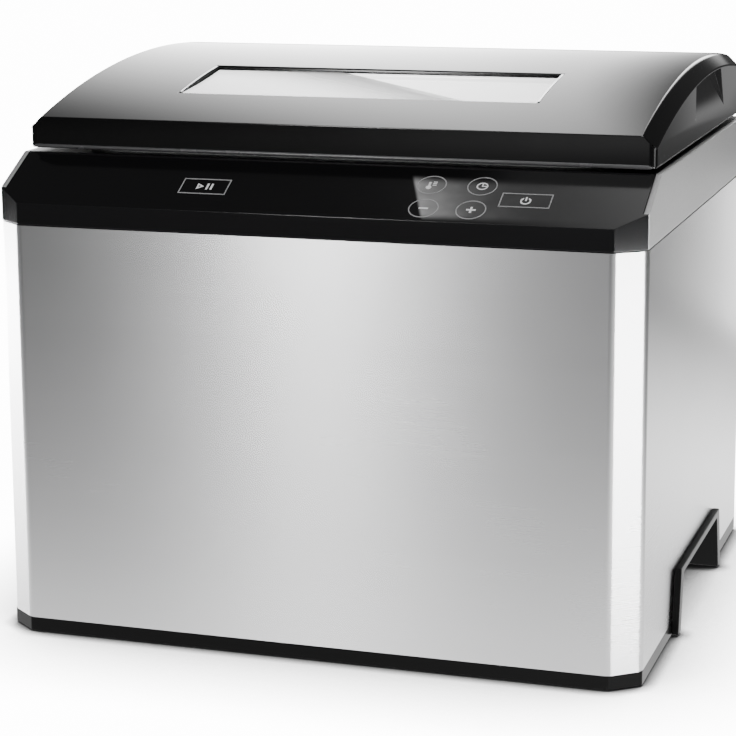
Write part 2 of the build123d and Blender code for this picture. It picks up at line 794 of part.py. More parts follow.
def make_probes():
    wall_out = tub_front - tub_wall
    washer = bar_y(probe_x, wall_out - 1.5, wall_out, probe_z, 6)
    pieces["probe_washer"] = washer - bar_y(probe_x, wall_out - 3, wall_out + 1, probe_z, 3)
    probe = bar_y(probe_x, wall_out - 22, tub_front + 14, probe_z, 2.9)
    hexagon = Plane.XZ.offset(-(wall_out - 1.5)) * (Pos(probe_x, probe_z) * RegularPolygon(6, 6))
    probe += extrude(hexagon, 4)
    pieces["temperature_probe"] = probe
    rods = []
    for x, z in level_spots:
        rod = bar_y(x, wall_out - 12, tub_front + 5, z, 1.9) + bar_y(x, wall_out - 4, wall_out, z, 4.5)
        rods.append(rod)
    pieces["level_probes"] = Compound(children=rods)


def make_pump():
    pieces["pump_pad"] = post(pump_x, pump_y, base_floor, motor_z, motor_radius + 4) - post(
        pump_x, pump_y, base_floor - 1, motor_z + 1, 6
    )
    motor = post(pump_x, pump_y, motor_z, volute_z, motor_radius)
    motor -= post(pump_x, pump_y, motor_z + 4, volute_z - 3, 12)
    motor -= post(pump_x, pump_y, motor_z + 2, volute_z + 1, shaft_radius + running_gap)
    pieces["pump_motor"] = motor

    cavity_z = (volute_z + volute_wall, spigot_z - volute_wall)
    volute = post(pump_x, pump_y, volute_z, spigot_z, volute_radius)
    outlet_z = (volute_z + spigot_z) / 2
    volute += bar_y(outlet_x, pump_y, pump_y + volute_radius + 6, outlet_z, spigot_radius)
    volute += post(pump_x, pump_y, spigot_z, spigot_z + 8, spigot_radius)
    volute -= post(pump_x, pump_y, *cavity_z, impeller_radius + 3)
    volute -= bar_y(outlet_x, pump_y, pump_y + volute_radius + 7, outlet_z, spigot_bore)
    volute -= post(pump_x, pump_y, spigot_z - volute_wall - 1, spigot_z + 9, spigot_bore)
    volute -= post(pump_x, pump_y, volute_z - 1, volute_z + volute_wall + 1, shaft_radius + running_gap)
    pieces["pump_housing"] = volute

    hub_z = cavity_z[0] + 1.5
    shaft = post(pump_x, pump_y, motor_z + 2.2, hub_z + 5, shaft_radius)
    pieces["pump_shaft"] = shaft
    magnet = post(pump_x, pump_y, motor_z + 5, volute_z - 4, 11)
    pieces["rotor_magnet"] = magnet - post(pump_x, pump_y, motor_z, volute_z, shaft_radius)
    impeller = post(pump_x, pump_y, hub_z, hub_z + 1.2, impeller_radius)
    impeller += post(pump_x, pump_y, hub_z, hub_z + 5, 4)
    for i in range(6):
        blade = Pos(pump_x, pump_y, hub_z + 3) * Rot(0, 0, 60 * i) * Pos(9.5, 0, 0) * Box(12, 1.2, 4)
        impeller += blade
    impeller -= post(pump_x, pump_y, hub_z - 1, hub_z + 6, shaft_radius)
    pieces["pump_impeller"] = impeller

    # drain fitting in the tub floor, with a strainer over it, and the short hose to the pump
    floor_under = tub_floor - tub_wall
    drain = post(pump_x, pump_y, floor_under - 8, tub_floor + 1, spigot_radius)
    drain += post(pump_x, pump_y, floor_under - 2, floor_under, drain_radius + fitting_rim)
    drain += post(pump_x, pump_y, tub_floor, tub_floor + 1, drain_radius + fitting_rim)
    drain += post(pump_x, pump_y, floor_under, tub_floor, drain_radius)
    drain -= post(pump_x, pump_y, floor_under - 9, tub_floor + 2, spigot_bore)
    pieces["drain_fitting"] = drain
    dome = post(pump_x, pump_y, tub_floor + 1, tub_floor + 8, 9)
    dome -= post(pump_x, pump_y, tub_floor, tub_floor + 7, 8)
    for i in range(6):
        dome -= Pos(pump_x, pump_y, tub_floor + 4) * Rot(0, 0, 30 * i) * Box(20, 1.6, 4)
    pieces["drain_strainer"] = dome
    hose_radius = spigot_radius + hose_wall
    inlet_hose = post(pump_x, pump_y, spigot_z + 0.5, floor_under - 2.2, hose_radius)
    inlet_hose -= post(pump_x, pump_y, spigot_z, floor_under, spigot_radius + running_gap)
    pieces["inlet_hose"] = inlet_hose

    # outlet fitting through the tub's rear wall, fed from below by a moulded hose
    turn_y = outlet_y + 11.5
    turn_z = outlet_height - drain_radius
    fitting = bar_y(outlet_x, tub_rear - 6, turn_y, outlet_height, spigot_radius)
    fitting += bar_y(outlet_x, outlet_y, outlet_y + 2, outlet_height, drain_radius + fitting_rim)
    fitting += bar_y(outlet_x, tub_rear - 2, tub_rear, outlet_height, drain_radius + fitting_rim)
    fitting += bar_y(outlet_x, tub_rear, outlet_y, outlet_height, drain_radius)
    fitting += Pos(outlet_x, turn_y, outlet_height) * Box(12, 12, 12)
    fitting += post(outlet_x, turn_y, turn_z - 10, turn_z, spigot_radius)
    fitting -= bar_y(outlet_x, tub_rear - 7, turn_y, outlet_height, spigot_bore)
    fitting -= post(outlet_x, turn_y, turn_z - 11, outlet_height, spigot_bore)
    pieces["outlet_fitting"] = fitting
    start = (outlet_x, pump_y + volute_radius + 0.5, outlet_z)
    corner = (outlet_x, turn_y, outlet_z)
    end = (outlet_x, turn_y, turn_z - 0.5)
    path = FilletPolyline(start, corner, end, radius=hose_radius + 3)
    ring = Plane(origin=start, z_dir=(0, 1, 0)) * (Circle(hose_radius) - Circle(spigot_radius + running_gap))
    pieces["outlet_hose"] = sweep(ring, path=path)


grille_top = tub_floor + grille_height
grille_length = tub_length - 10
grille_span = tub_span - 10
grille_rows = 13
grille_columns = 7
rack_gap = 0.3
rack_z = grille_top + rack_rail + rack_gap


def make_grille():
    x = grille_length / 2
    y0 = tub_middle - grille_span / 2
    y1 = tub_middle + grille_span / 2
    plate = round_box(-x, x, y0, y1, grille_top - grille_wall, grille_top, tub_corner - 5)
    slots = []
    for i in range(grille_columns):
        for j in range(grille_rows):
            sx = (i - (grille_columns - 1) / 2) * 36
            sy = tub_middle + (j - (grille_rows - 1) / 2) * 14
            slots.append(Pos(sx, sy, grille_top) * Box(28, 5, 4))
    plate -= slots
    for i in (-1, 1):
        for j in (-1, 1):
            leg_x = i * (x - 18)
            leg_y = tub_middle + j * (grille_span / 2 - 7)
            plate += post(leg_x, leg_y, tub_floor, grille_top, 3)
    pieces["bottom_grille"] = plate


def wire(points, bend):
    path = FilletPolyline(*points, radius=bend)
    start = Plane(origin=points[0], z_dir=path % 0)
    return sweep(start * Circle(rack_wire), path=path)


# Two rails, cross bars between the slots and a row of upright loops; the end loops stand taller as handles
def make_rack():
    x = rack_length / 2
    y0 = tub_middle - rack_span / 2
    y1 = tub_middle + rack_span / 2
    top = rack_z + rack_height
    pitch = rack_length / rack_slots
    rack = Part()
    for y in (y0, y1):
        rail = Rot(0, 90, 0) * Cylinder(rack_rail, rack_length + 4 * rack_wire)
        rack += Pos(0, y, rack_z) * rail
    for i in range(rack_slots + 1):
        wx = -x + i * pitch
        crown = top + (handle_rise if i in (0, rack_slots) else 0)
        rack += wire([(wx, y0, rack_z), (wx, y0, crown), (wx, y1, crown), (wx, y1, rack_z)], rack_bend)
    for i in range(rack_slots):
        rack += bar_y(-x + (i + 0.5) * pitch, y0, y1, rack_z, rack_wire)
    pieces["bag_rack"] = rack


# Lid
def arch_at(y, inset):
    return arch_z + sqrt((arch_radius - inset) ** 2 - (y - arch_y) ** 2)


def lid_section(inset, bottom_z):
    y0 = lid_front + inset
    y1 = lid_rear - inset
    middle = (y0 + y1) / 2
    top = ThreePointArc((y0, arch_at(y0, inset)), (middle, arch_at(middle, inset)), (y1, arch_at(y1, inset)))
    sides = Polyline((y1, arch_at(y1, inset)), (y1, bottom_z), (y0, bottom_z), (y0, arch_at(y0, inset)))
    return make_face([top, sides])


def lid_block(inset, bottom_z):
    half = lid_half - inset
    block = extrude(Plane.YZ.offset(-half) * lid_section(inset, bottom_z), 2 * half)
    arcs = block.edges().filter_by(GeomType.CIRCLE)
    block = chamfer(arcs, lid_bevel)
    uprights = block.edges().filter_by(Axis.Z).group_by(Axis.Y)[0]
    block = fillet(uprights, max(lid_corner - inset, 0.5))
    crest = block.edges().filter_by(Axis.X).group_by(Axis.Y)[-1].sort_by(Axis.Z)[-1]
    block = fillet(crest, lid_rear_round - inset)
    return block - both_sides(finger_recess(inset))


# A wedge that is deepest under the bevel and runs out towards the lower edge
def finger_recess(inset):
    y0 = front + recess_front - inset
    y1 = rear - recess_top_margin + inset
    y2 = rear - recess_bottom_margin + inset
    low = recess_bottom - inset
    drop = lid_bevel + recess_ceiling - inset
    middle = (y0 + y1) / 2
    roof = ThreePointArc((y0, arch_at(y0, drop)), (middle, arch_at(middle, drop)), (y1, arch_at(y1, drop)))
    sides = Polyline((y1, arch_at(y1, drop)), (y2, low), (y0, low), (y0, arch_at(y0, drop)))
    outline = make_face([roof, sides])
    reach = lid_half - inset
    area = extrude(Plane.YZ.offset(reach - 2 * recess_depth) * outline, 3 * recess_depth)
    tall = arch_peak - recess_bottom
    wedge = [
        (reach, low),
        (reach - recess_depth * tall / (tall - lid_bevel), recess_bottom + tall),
        (reach + recess_depth, recess_bottom + tall),
        (reach + recess_depth, low),
    ]
    return area & prism_y(wedge, y0 - 1, y2 + 1)


# A layer that follows the arch between two depths under the lid's surface
def arch_layer(depth0, depth1, x, y0, y1):
    middle = (y0 + y1) / 2
    near, mid, far = [arch_at(y, depth0) for y in (y0, middle, y1)]
    top = ThreePointArc((y0, near), (middle, mid), (y1, far))
    near, mid, far = [arch_at(y, depth1) for y in (y0, middle, y1)]
    low = ThreePointArc((y1, far), (middle, mid), (y0, near))
    ends = [
        Line((y1, arch_at(y1, depth0)), (y1, arch_at(y1, depth1))),
        Line((y0, arch_at(y0, depth1)), (y0, arch_at(y0, depth0))),
    ]
    return extrude(Plane.YZ.offset(-x) * make_face([top, ends[0], low, ends[1]]), 2 * x)


window_y0 = front + window_front
window_y1 = window_y0 + window_span
window_x = window_length / 2
lid_screw_x = lid_half - 13.0
lid_screw_y = [lid_front + 14.0, (lid_front + lid_rear) / 2, lid_rear - 14.0]
lid_screw_spots = [(sign * lid_screw_x, y) for sign in (-1, 1) for y in lid_screw_y]
liner_top = lid_bottom + liner_wall
well_depth = 20  # straight part of the window's well, below the lid's top
well_lap = 10


def make_lid():
    shell = lid_block(0, lid_bottom)
    cavity = lid_block(lid_wall, lid_bottom - 1)
    bosses = Part()
    for x, y in lid_screw_spots:
        bosses += post(x, y, liner_top, arch_peak, 4) & cavity
    shell = shell - cavity + bosses
    shell -= box(-window_x, window_x, window_y0, window_y1, lid_bottom, arch_peak + 5)
    for x, y in lid_screw_spots:
        shell -= post(x, y, lid_bottom, liner_top + 9, screw_hole)
    pieces["lid_shell"] = shell

    pane_top = lid_wall + window_gasket_thickness
    grow = pane_overlap
    pieces["lid_window"] = arch_layer(
        pane_top, pane_top + pane_thickness, window_x + grow, window_y0 - grow, window_y1 + grow
    )
    seal = arch_layer(
        lid_wall + running_gap, pane_top - running_gap, window_x + grow, window_y0 - grow, window_y1 + grow
    )
    seal -= box(-window_x, window_x, window_y0, window_y1, lid_bottom, arch_peak)
    pieces["window_gasket"] = seal

    # the liner: a rim plate, and a hollow plug that reaches into the tub, with a well under the window
    gap = lid_wall + fit_gap
    rim = box(
        -lid_half + gap, lid_half - gap, lid_front + gap, lid_rear - gap, lid_bottom, liner_top
    )
    rim = fillet(rim.edges().filter_by(Axis.Z), lid_corner)
    plug_bottom = deck_top - plug_depth
    liner = rim + tub_box(-plug_clearance, plug_bottom, liner_top, 0)
    liner -= tub_box(-plug_clearance - liner_wall, plug_bottom + liner_wall, liner_top + 1, 0)
    wx = window_x - pane_overlap
    y0 = window_y0 + pane_overlap
    y1 = window_y1 - pane_overlap
    well_x = wx + well_wall
    well_y0 = y0 - well_wall
    well_y1 = y1 + well_wall
    under_pane = arch_layer(
        pane_top + pane_thickness + fit_gap, well_depth + well_lap, well_x, well_y0, well_y1
    )
    well = box(-well_x, well_x, well_y0, well_y1, plug_bottom, arch_at(y0, well_depth))
    liner += well + under_pane
    liner -= box(-wx, wx, y0, y1, plug_bottom - 1, arch_peak)
    for x, y in lid_screw_spots:
        liner -= Pos(x, y, lid_bottom + 0.9) * Cone(screw_head_radius, screw_hole, 1.8)
        liner -= post(x, y, lid_bottom - 1, liner_top + 1, screw_hole)
    pieces["lid_liner"] = liner

    screws = []
    for x, y in lid_screw_spots:
        screw = Pos(x, y, lid_bottom + 0.9) * Cone(screw_head_radius - 0.1, screw_radius, 1.8)
        screw += post(x, y, lid_bottom + 1, liner_top + 8, screw_radius)
        screws.append(screw)
    pieces["lid_screws"] = Compound(children=screws)

    lip = tub_wall + flange_width
    ring = tub_box(lip - 1, deck_top, lid_bottom, 0) - tub_box(1, deck_top - 1, lid_bottom + 1, 0)
    pieces["lid_seal"] = ring


make_casing()
make_base()
make_grips()
make_rear()
make_deck()
make_fascia()
make_marks()
make_electronics()
make_power_board()
make_tub()
make_heater()
make_probes()
make_pump()
make_grille()
make_rack()
make_lid()

for name, shape in pieces.items():
    export_step(shape, f"parts/{name}.step")
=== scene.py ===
import json
from math import cos, pi, radians, sin, sqrt

import bmesh
import bpy
from mathutils import Matrix, Vector

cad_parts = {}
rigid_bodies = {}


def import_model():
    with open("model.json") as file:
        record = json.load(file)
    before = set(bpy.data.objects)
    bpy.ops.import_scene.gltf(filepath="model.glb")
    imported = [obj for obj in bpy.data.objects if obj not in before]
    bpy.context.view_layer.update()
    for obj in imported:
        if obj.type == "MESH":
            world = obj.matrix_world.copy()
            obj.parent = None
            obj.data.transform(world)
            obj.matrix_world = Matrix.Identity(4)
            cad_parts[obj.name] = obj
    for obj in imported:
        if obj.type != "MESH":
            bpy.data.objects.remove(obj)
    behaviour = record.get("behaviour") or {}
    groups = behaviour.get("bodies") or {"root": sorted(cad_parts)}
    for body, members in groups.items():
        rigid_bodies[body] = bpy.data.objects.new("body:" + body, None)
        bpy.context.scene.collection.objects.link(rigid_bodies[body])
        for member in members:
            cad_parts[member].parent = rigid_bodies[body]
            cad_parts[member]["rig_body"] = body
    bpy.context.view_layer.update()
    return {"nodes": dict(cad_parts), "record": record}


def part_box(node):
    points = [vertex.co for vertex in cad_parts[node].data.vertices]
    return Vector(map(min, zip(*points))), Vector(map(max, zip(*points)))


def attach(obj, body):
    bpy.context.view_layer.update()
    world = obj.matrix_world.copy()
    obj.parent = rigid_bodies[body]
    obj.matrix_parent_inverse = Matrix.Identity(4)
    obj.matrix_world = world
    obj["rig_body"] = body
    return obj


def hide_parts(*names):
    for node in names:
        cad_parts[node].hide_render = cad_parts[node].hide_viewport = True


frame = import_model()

nodes = frame["nodes"]
bodyOfNode = {name: ob["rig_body"] for name, ob in nodes.items()}
print("bath: frame loaded,", len(nodes), "nodes")


# camera, floor and light

shot = {
    "place": (0.4021, -1.2832, 0.4339),
    "yaw": 18.01,  # degrees to the left of +Y
    "pitch": -10.89,
    "roll": -0.396,
    "lens": 113.9,
    "shift": -0.106,
}


def makeCamera():
    data = bpy.data.cameras.new("camera")
    data.sensor_width = 36.0
    data.lens = shot["lens"]
    data.shift_y = shot["shift"]
    data.clip_start, data.clip_end = 0.05, 60.0
    camera = bpy.data.objects.new("camera", data)
    bpy.context.scene.collection.objects.link(camera)
    yaw, pitch = radians(shot["yaw"]), radians(shot["pitch"])
    look = Vector((-sin(yaw) * cos(pitch), cos(yaw) * cos(pitch), sin(pitch)))
    turn = look.to_track_quat("-Z", "Y").to_matrix() @ Matrix.Rotation(radians(shot["roll"]), 3, "Z")
    camera.matrix_world = Matrix.Translation(shot["place"]) @ turn.to_4x4()
    bpy.context.scene.camera = camera


softboxes = {
    # name: (place, target, width, height, radiance)
    "columnCore": ((-0.74, -2.28, 0.95), (0.02, -0.15, 0.12), 0.16, 1.3, 33.0),
    "columnSkirt": ((-0.73, -2.26, 0.95), (0.02, -0.15, 0.12), 0.38, 1.3, 3.8),
    "leftPanel": ((-0.85, 0.16, 0.047), (-0.17, -0.1, 0.047), 0.6, 0.085, 50.0),
    "rightPanel": ((0.86, -0.46, 0.042), (0.17, -0.14, 0.042), 0.4, 0.075, 80.0),
    "rearRight": ((0.13, 0.72, 0.075), (0.18, 0.1, 0.1), 0.30, 0.15, 4.8),
    "overhead": ((0.15, -0.55, 1.70), (0.05, -0.1, 0.1), 1.0, 0.8, 3.0),
}


def makeSoftboxes():
    for name, (place, target, wide, tall, radiance) in softboxes.items():
        data = bpy.data.lights.new(name, "AREA")
        data.shape = "RECTANGLE"
        data.size, data.size_y = wide, tall
        data.energy = radiance * pi * wide * tall
        lamp = bpy.data.objects.new(name, data)
        bpy.context.scene.collection.objects.link(lamp)
        aim = (Vector(target) - Vector(place)).to_track_quat("-Z", "Y")
        lamp.matrix_world = Matrix.Translation(place) @ aim.to_matrix().to_4x4()
        lamp.visible_camera = False


# small helpers for node trees

def put(tree, kind, **values):
    node = tree.nodes.new(kind)
    for key, value in values.items():
        if key.startswith("in_"):
            label = key[3:].replace("_", " ")
            node.inputs[int(label) if label.isdigit() else label].default_value = value
        else:
            setattr(node, key, value)
    return node


def wire(tree, source, target):
    tree.links.new(source, target)


def greyRamp(tree, source, stops):
    node = tree.nodes.new("ShaderNodeValToRGB")
    band = node.color_ramp
    while len(band.elements) < len(stops):
        band.elements.new(0.5)
    for element, (place, tone) in zip(band.elements, stops):
        element.position = place
        element.color = (tone, tone, tone, 1)
    wire(tree, source, node.inputs[0])
    return node.outputs[0]


def calc(tree, operation, a, b=None, clamp=False):
    node = tree.nodes.new("ShaderNodeMath")
    node.operation = operation
    node.use_clamp = clamp
    for socket, value in zip(node.inputs, (a, b)):
        if value is None:
            continue
        if isinstance(value, (int, float)):
            socket.default_value = value
        else:
            wire(tree, value, socket)
    return node.outputs[0]


def times(tree, a, b, clamp=False):
    return calc(tree, "MULTIPLY", a, b, clamp)


def plus(tree, a, b, clamp=False):
    return calc(tree, "ADD", a, b, clamp)


def minus(tree, a, b):
    return calc(tree, "SUBTRACT", a, b)


def bell(tree, value):
    # 1 at zero, falling off to both sides
    return calc(tree, "EXPONENT", times(tree, times(tree, value, value), -1.0))


def place(tree, kind="Object"):
    return put(tree, "ShaderNodeTexCoord").outputs[kind]


def axes(tree, kind="Object"):
    split = put(tree, "ShaderNodeSeparateXYZ")
    wire(tree, place(tree, kind), split.inputs[0])
    return split.outputs


def texture(tree, kind, **values):
    node = put(tree, "ShaderNodeTex" + kind, **values)
    wire(tree, place(tree), node.inputs["Vector"])
    return node


studio = {
    "base": 0.085,
    "glow": 6.9,
    "glowSide": -0.335,  # radians to the left of +Y
    "glowWide": 0.142,
    "glowTall": 0.90,
    "edgeSide": -0.14,  # where the glow ends on its right, at the horizon
    "edgeLean": -0.13,  # and how far that end leans with height
    "edgeSoft": 0.05,
    "band": 9.0,  # a narrow upright light right behind the object
    "bandSide": -0.035,
    "bandWide": 0.06,
    "bandLow": 0.08,  # the band starts at this height
    "bandRise": 12.0,
    "seen": 14.0,  # what the camera itself sees behind the object
}


def makeWorld():
    world = bpy.data.worlds.new("studio")
    bpy.context.scene.world = world
    world.use_nodes = True
    tree = world.node_tree
    tree.nodes.clear()
    x, y, z = axes(tree, "Generated")
    side = calc(tree, "ARCTAN2", x, y)
    off = calc(tree, "DIVIDE", minus(tree, side, studio["glowSide"]), studio["glowWide"])
    rise = calc(tree, "DIVIDE", z, studio["glowTall"])
    end = plus(tree, times(tree, z, studio["edgeLean"]), studio["edgeSide"])
    inside = calc(tree, "DIVIDE", minus(tree, end, side), studio["edgeSoft"], clamp=True)
    lit = times(tree, times(tree, bell(tree, off), bell(tree, rise)), studio["glow"])
    lit = times(tree, lit, inside)
    off = calc(tree, "DIVIDE", minus(tree, side, studio["bandSide"]), studio["bandWide"])
    above = times(tree, minus(tree, z, studio["bandLow"]), studio["bandRise"], clamp=True)
    band = times(tree, times(tree, bell(tree, off), above), studio["band"])
    dim = put(tree, "ShaderNodeBackground", in_Color=(1, 1, 1, 1))
    wire(tree, plus(tree, plus(tree, lit, band), studio["base"]), dim.inputs["Strength"])
    white = put(tree, "ShaderNodeBackground", in_Color=(1, 1, 1, 1), in_Strength=studio["seen"])
    seen = put(tree, "ShaderNodeLightPath")
    mix = put(tree, "ShaderNodeMixShader")
    wire(tree, seen.outputs["Is Camera Ray"], mix.inputs[0])
    wire(tree, dim.outputs[0], mix.inputs[1])
    wire(tree, white.outputs[0], mix.inputs[2])
    out = put(tree, "ShaderNodeOutputWorld")
    wire(tree, mix.outputs[0], out.inputs[0])


paper = {
    "half": 14.0,
    "tone": 0.5,
    "lit": 0.8,  # how much of it is light and not paper
    "far": 0.055,  # what reflections see away from the pools
    "seen": 18.0,  # what the camera sees
    "soft": 0.10,  # reach of the soft shadow, and how deep it is
    "deep": 3.0,
    "contact": 0.009,  # the same for the line under the base
    "dark": 4.0,
    "samples": 8,
}
pools = [
    # bright places of the paper that only reflections see: centre, reach, radiance
    ((0.04, -0.16), 0.28, 1.7),
    ((-0.18, -0.75), 0.20, 1.1),
    ((-0.32, -2.35), 0.34, 1.3),
    ((-0.50, 0.03), 0.30, 6.0),
    ((0.50, -0.30), 0.26, 8.0),
    ((0.24, 0.32), 0.26, 3.8),
    ((0.30, 0.64), 0.17, 1.2),
    ((0.52, 3.20), 0.80, 0.55),
    ((2.50, -0.45), 0.35, 14.0),
]


def makeFloor():
    mesh = bpy.data.meshes.new("studioFloor")
    half = paper["half"]
    corners = [(-half, -half, 0), (half, -half, 0), (half, half, 0), (-half, half, 0)]
    mesh.from_pydata(corners, [], [(0, 1, 2, 3)])
    floor = bpy.data.objects.new("studioFloor", mesh)
    bpy.context.scene.collection.objects.link(floor)
    mat = bpy.data.materials.new("paleFloor")
    mat.use_nodes = True
    tree = mat.node_tree
    tree.nodes.clear()
    matt = put(tree, "ShaderNodeBsdfDiffuse", in_Color=(paper["tone"],) * 3 + (1,))
    white = paper["seen"]
    for reach, power in ((paper["soft"], paper["deep"]), (paper["contact"], paper["dark"])):
        shade = put(tree, "ShaderNodeAmbientOcclusion", in_Distance=reach, samples=paper["samples"])
        white = times(tree, calc(tree, "POWER", shade.outputs["AO"], power), white)
    here = place(tree)
    glow = paper["far"]
    for (x, y), reach, radiance in pools:
        away = put(tree, "ShaderNodeVectorMath", operation="DISTANCE", in_1=(x, y, 0))
        wire(tree, here, away.inputs[0])
        near = bell(tree, calc(tree, "DIVIDE", away.outputs["Value"], reach))
        glow = plus(tree, times(tree, near, radiance), glow)
    mixed = put(tree, "ShaderNodeMix", data_type="FLOAT")
    wire(tree, put(tree, "ShaderNodeLightPath").outputs["Is Camera Ray"], mixed.inputs[0])
    wire(tree, glow, mixed.inputs[2])
    wire(tree, white, mixed.inputs[3])
    lift = put(tree, "ShaderNodeEmission", in_Color=(1, 1, 1, 1))
    wire(tree, mixed.outputs[0], lift.inputs["Strength"])
    both = put(tree, "ShaderNodeMixShader", in_0=paper["lit"])
    wire(tree, matt.outputs[0], both.inputs[1])
    wire(tree, lift.outputs[0], both.inputs[2])
    out = put(tree, "ShaderNodeOutputMaterial")
    wire(tree, both.outputs[0], out.inputs[0])
    mesh.materials.append(mat)


makeCamera()
makeSoftboxes()
makeWorld()
makeFloor()
print("bath: camera, floor and light ready")


# shader node groups that several finishes share

def newGroup(name, ins, outs, treeKind="ShaderNodeTree"):
    tree = bpy.data.node_groups.new(name, treeKind)
    for label, kind, *value in ins:
        socket = tree.interface.new_socket(label, in_out="INPUT", socket_type="NodeSocket" + kind)
        if value:
            socket.default_value = value[0]
    for label, kind in outs:
        tree.interface.new_socket(label, in_out="OUTPUT", socket_type="NodeSocket" + kind)
    return tree, tree.nodes.new("NodeGroupInput"), tree.nodes.new("NodeGroupOutput")


def makeBrushLines():
    # fine level lines, long one way and narrow the other
    tree, given, result = newGroup(
        "brushLines",
        [("Along", "Float", 9.0), ("Across", "Float", 900.0), ("Contrast", "Float", 0.5)],
        [("Tone", "Float"), ("Height", "Float")],
    )
    joined = put(tree, "ShaderNodeCombineXYZ")
    for axis, spot, stretch in zip(joined.inputs, axes(tree), ("Along", "Along", "Across")):
        wire(tree, times(tree, spot, given.outputs[stretch]), axis)
    fine = put(tree, "ShaderNodeTexNoise", in_Scale=1.0, in_Detail=3.0, in_Roughness=0.65)
    wire(tree, joined.outputs[0], fine.inputs["Vector"])
    wider = put(tree, "ShaderNodeVectorMath", operation="SCALE", in_Scale=0.16)
    wire(tree, joined.outputs[0], wider.inputs[0])
    broad = put(tree, "ShaderNodeTexNoise", in_Scale=1.0, in_Detail=2.0)
    wire(tree, wider.outputs[0], broad.inputs["Vector"])
    shares = ((fine, 0.65), (broad, 0.35))
    both = plus(tree, *[times(tree, lines.outputs["Fac"], share) for lines, share in shares])
    tone = times(tree, minus(tree, both, 0.5), given.outputs["Contrast"])
    wire(tree, plus(tree, tone, 0.5, clamp=True), result.inputs["Tone"])
    wire(tree, both, result.inputs["Height"])
    return tree


def makeHandling():
    # broad uneven patches left by wiping and handling
    tree, given, result = newGroup(
        "handling", [("Scale", "Float", 9.0), ("Amount", "Float", 0.1)], [("Offset", "Float")]
    )
    patches = texture(tree, "Noise", in_Detail=4.0, in_Roughness=0.55)
    wire(tree, given.outputs["Scale"], patches.inputs["Scale"])
    centred = minus(tree, patches.outputs["Fac"], 0.5)
    wire(tree, times(tree, centred, given.outputs["Amount"]), result.inputs["Offset"])
    return tree


def makeMouldGrain():
    # the fine spark-eroded texture of moulded plastic
    tree, given, result = newGroup("mouldGrain", [("Scale", "Float", 900.0)], [("Height", "Float")])
    cells = texture(tree, "Voronoi", feature="SMOOTH_F1")
    grit = texture(tree, "Noise", in_Detail=2.0)
    for pattern in (cells, grit):
        wire(tree, given.outputs["Scale"], pattern.inputs["Scale"])
    halves = [times(tree, height, 0.5) for height in (cells.outputs["Distance"], grit.outputs["Fac"])]
    wire(tree, plus(tree, *halves), result.inputs["Height"])
    return tree


def makeEdgeMask():
    # bright along edges, where a finish is rubbed
    tree, given, result = newGroup(
        "edgeMask", [("Radius", "Float", 0.0008), ("Gain", "Float", 6.0)], [("Mask", "Float")]
    )
    soft = put(tree, "ShaderNodeBevel", samples=4)
    wire(tree, given.outputs["Radius"], soft.inputs["Radius"])
    plain = put(tree, "ShaderNodeNewGeometry")
    match = put(tree, "ShaderNodeVectorMath", operation="DOT_PRODUCT")
    wire(tree, soft.outputs["Normal"], match.inputs[0])
    wire(tree, plain.outputs["Normal"], match.inputs[1])
    bent = minus(tree, 1.0, match.outputs["Value"])
    wire(tree, times(tree, bent, given.outputs["Gain"], clamp=True), result.inputs["Mask"])
    return tree


groups = {
    "brushLines": makeBrushLines(),
    "handling": makeHandling(),
    "mouldGrain": makeMouldGrain(),
    "edgeMask": makeEdgeMask(),
}


def useGroup(tree, name, **values):
    node = tree.nodes.new("ShaderNodeGroup")
    node.node_tree = groups[name]
    for key, value in values.items():
        node.inputs[key].default_value = value
    return node


def startMaterial(name, **plain):
    mat = bpy.data.materials.new(name)
    mat.use_nodes = True
    tree = mat.node_tree
    shader = tree.nodes["Principled BSDF"]
    for key, value in plain.items():
        shader.inputs[key.replace("_", " ")].default_value = value
    return mat, tree, shader


def tint(tree, factor, dark, light):
    node = tree.nodes.new("ShaderNodeMix")
    node.data_type = "RGBA"
    node.inputs[6].default_value = (*dark, 1)
    node.inputs[7].default_value = (*light, 1)
    wire(tree, factor, node.inputs[0])
    return node.outputs[2]


def bump(tree, height, depth, shader, strength, edgeRadius=None):
    # a fine relief, over edges that shade round when a radius is given
    node = put(tree, "ShaderNodeBump", in_Distance=depth, in_Strength=strength)
    wire(tree, height, node.inputs["Height"])
    if edgeRadius:
        rounded = put(tree, "ShaderNodeBevel", samples=4, in_Radius=edgeRadius)
        wire(tree, rounded.outputs[0], node.inputs["Normal"])
    wire(tree, node.outputs[0], shader.inputs["Normal"])


def wear(tree, shader, rough, scale, amount):
    # roughness that changes with handling
    worn = useGroup(tree, "handling", Scale=scale, Amount=amount)
    wire(tree, plus(tree, worn.outputs["Offset"], rough), shader.inputs["Roughness"])


# finishes

def casingSteel():
    look = {"dark": (0.53, 0.53, 0.535), "light": (0.585, 0.585, 0.59), "rough": 0.25, "grain": 0.03}
    mat, tree, shader = startMaterial(
        "brushedCasing", Metallic=1.0, Anisotropic=0.97, Anisotropic_Rotation=0.25
    )
    lines = useGroup(tree, "brushLines", Along=6.0, Across=620.0, Contrast=0.8)
    shade = tint(tree, lines.outputs["Tone"], look["dark"], look["light"])
    wire(tree, shade, shader.inputs["Base Color"])
    grained = plus(tree, times(tree, lines.outputs["Tone"], look["grain"]), look["rough"])
    wear(tree, shader, grained, 7.0, 0.06)
    turn = put(tree, "ShaderNodeTangent", direction_type="RADIAL", axis="Z")
    wire(tree, turn.outputs[0], shader.inputs["Tangent"])
    return mat


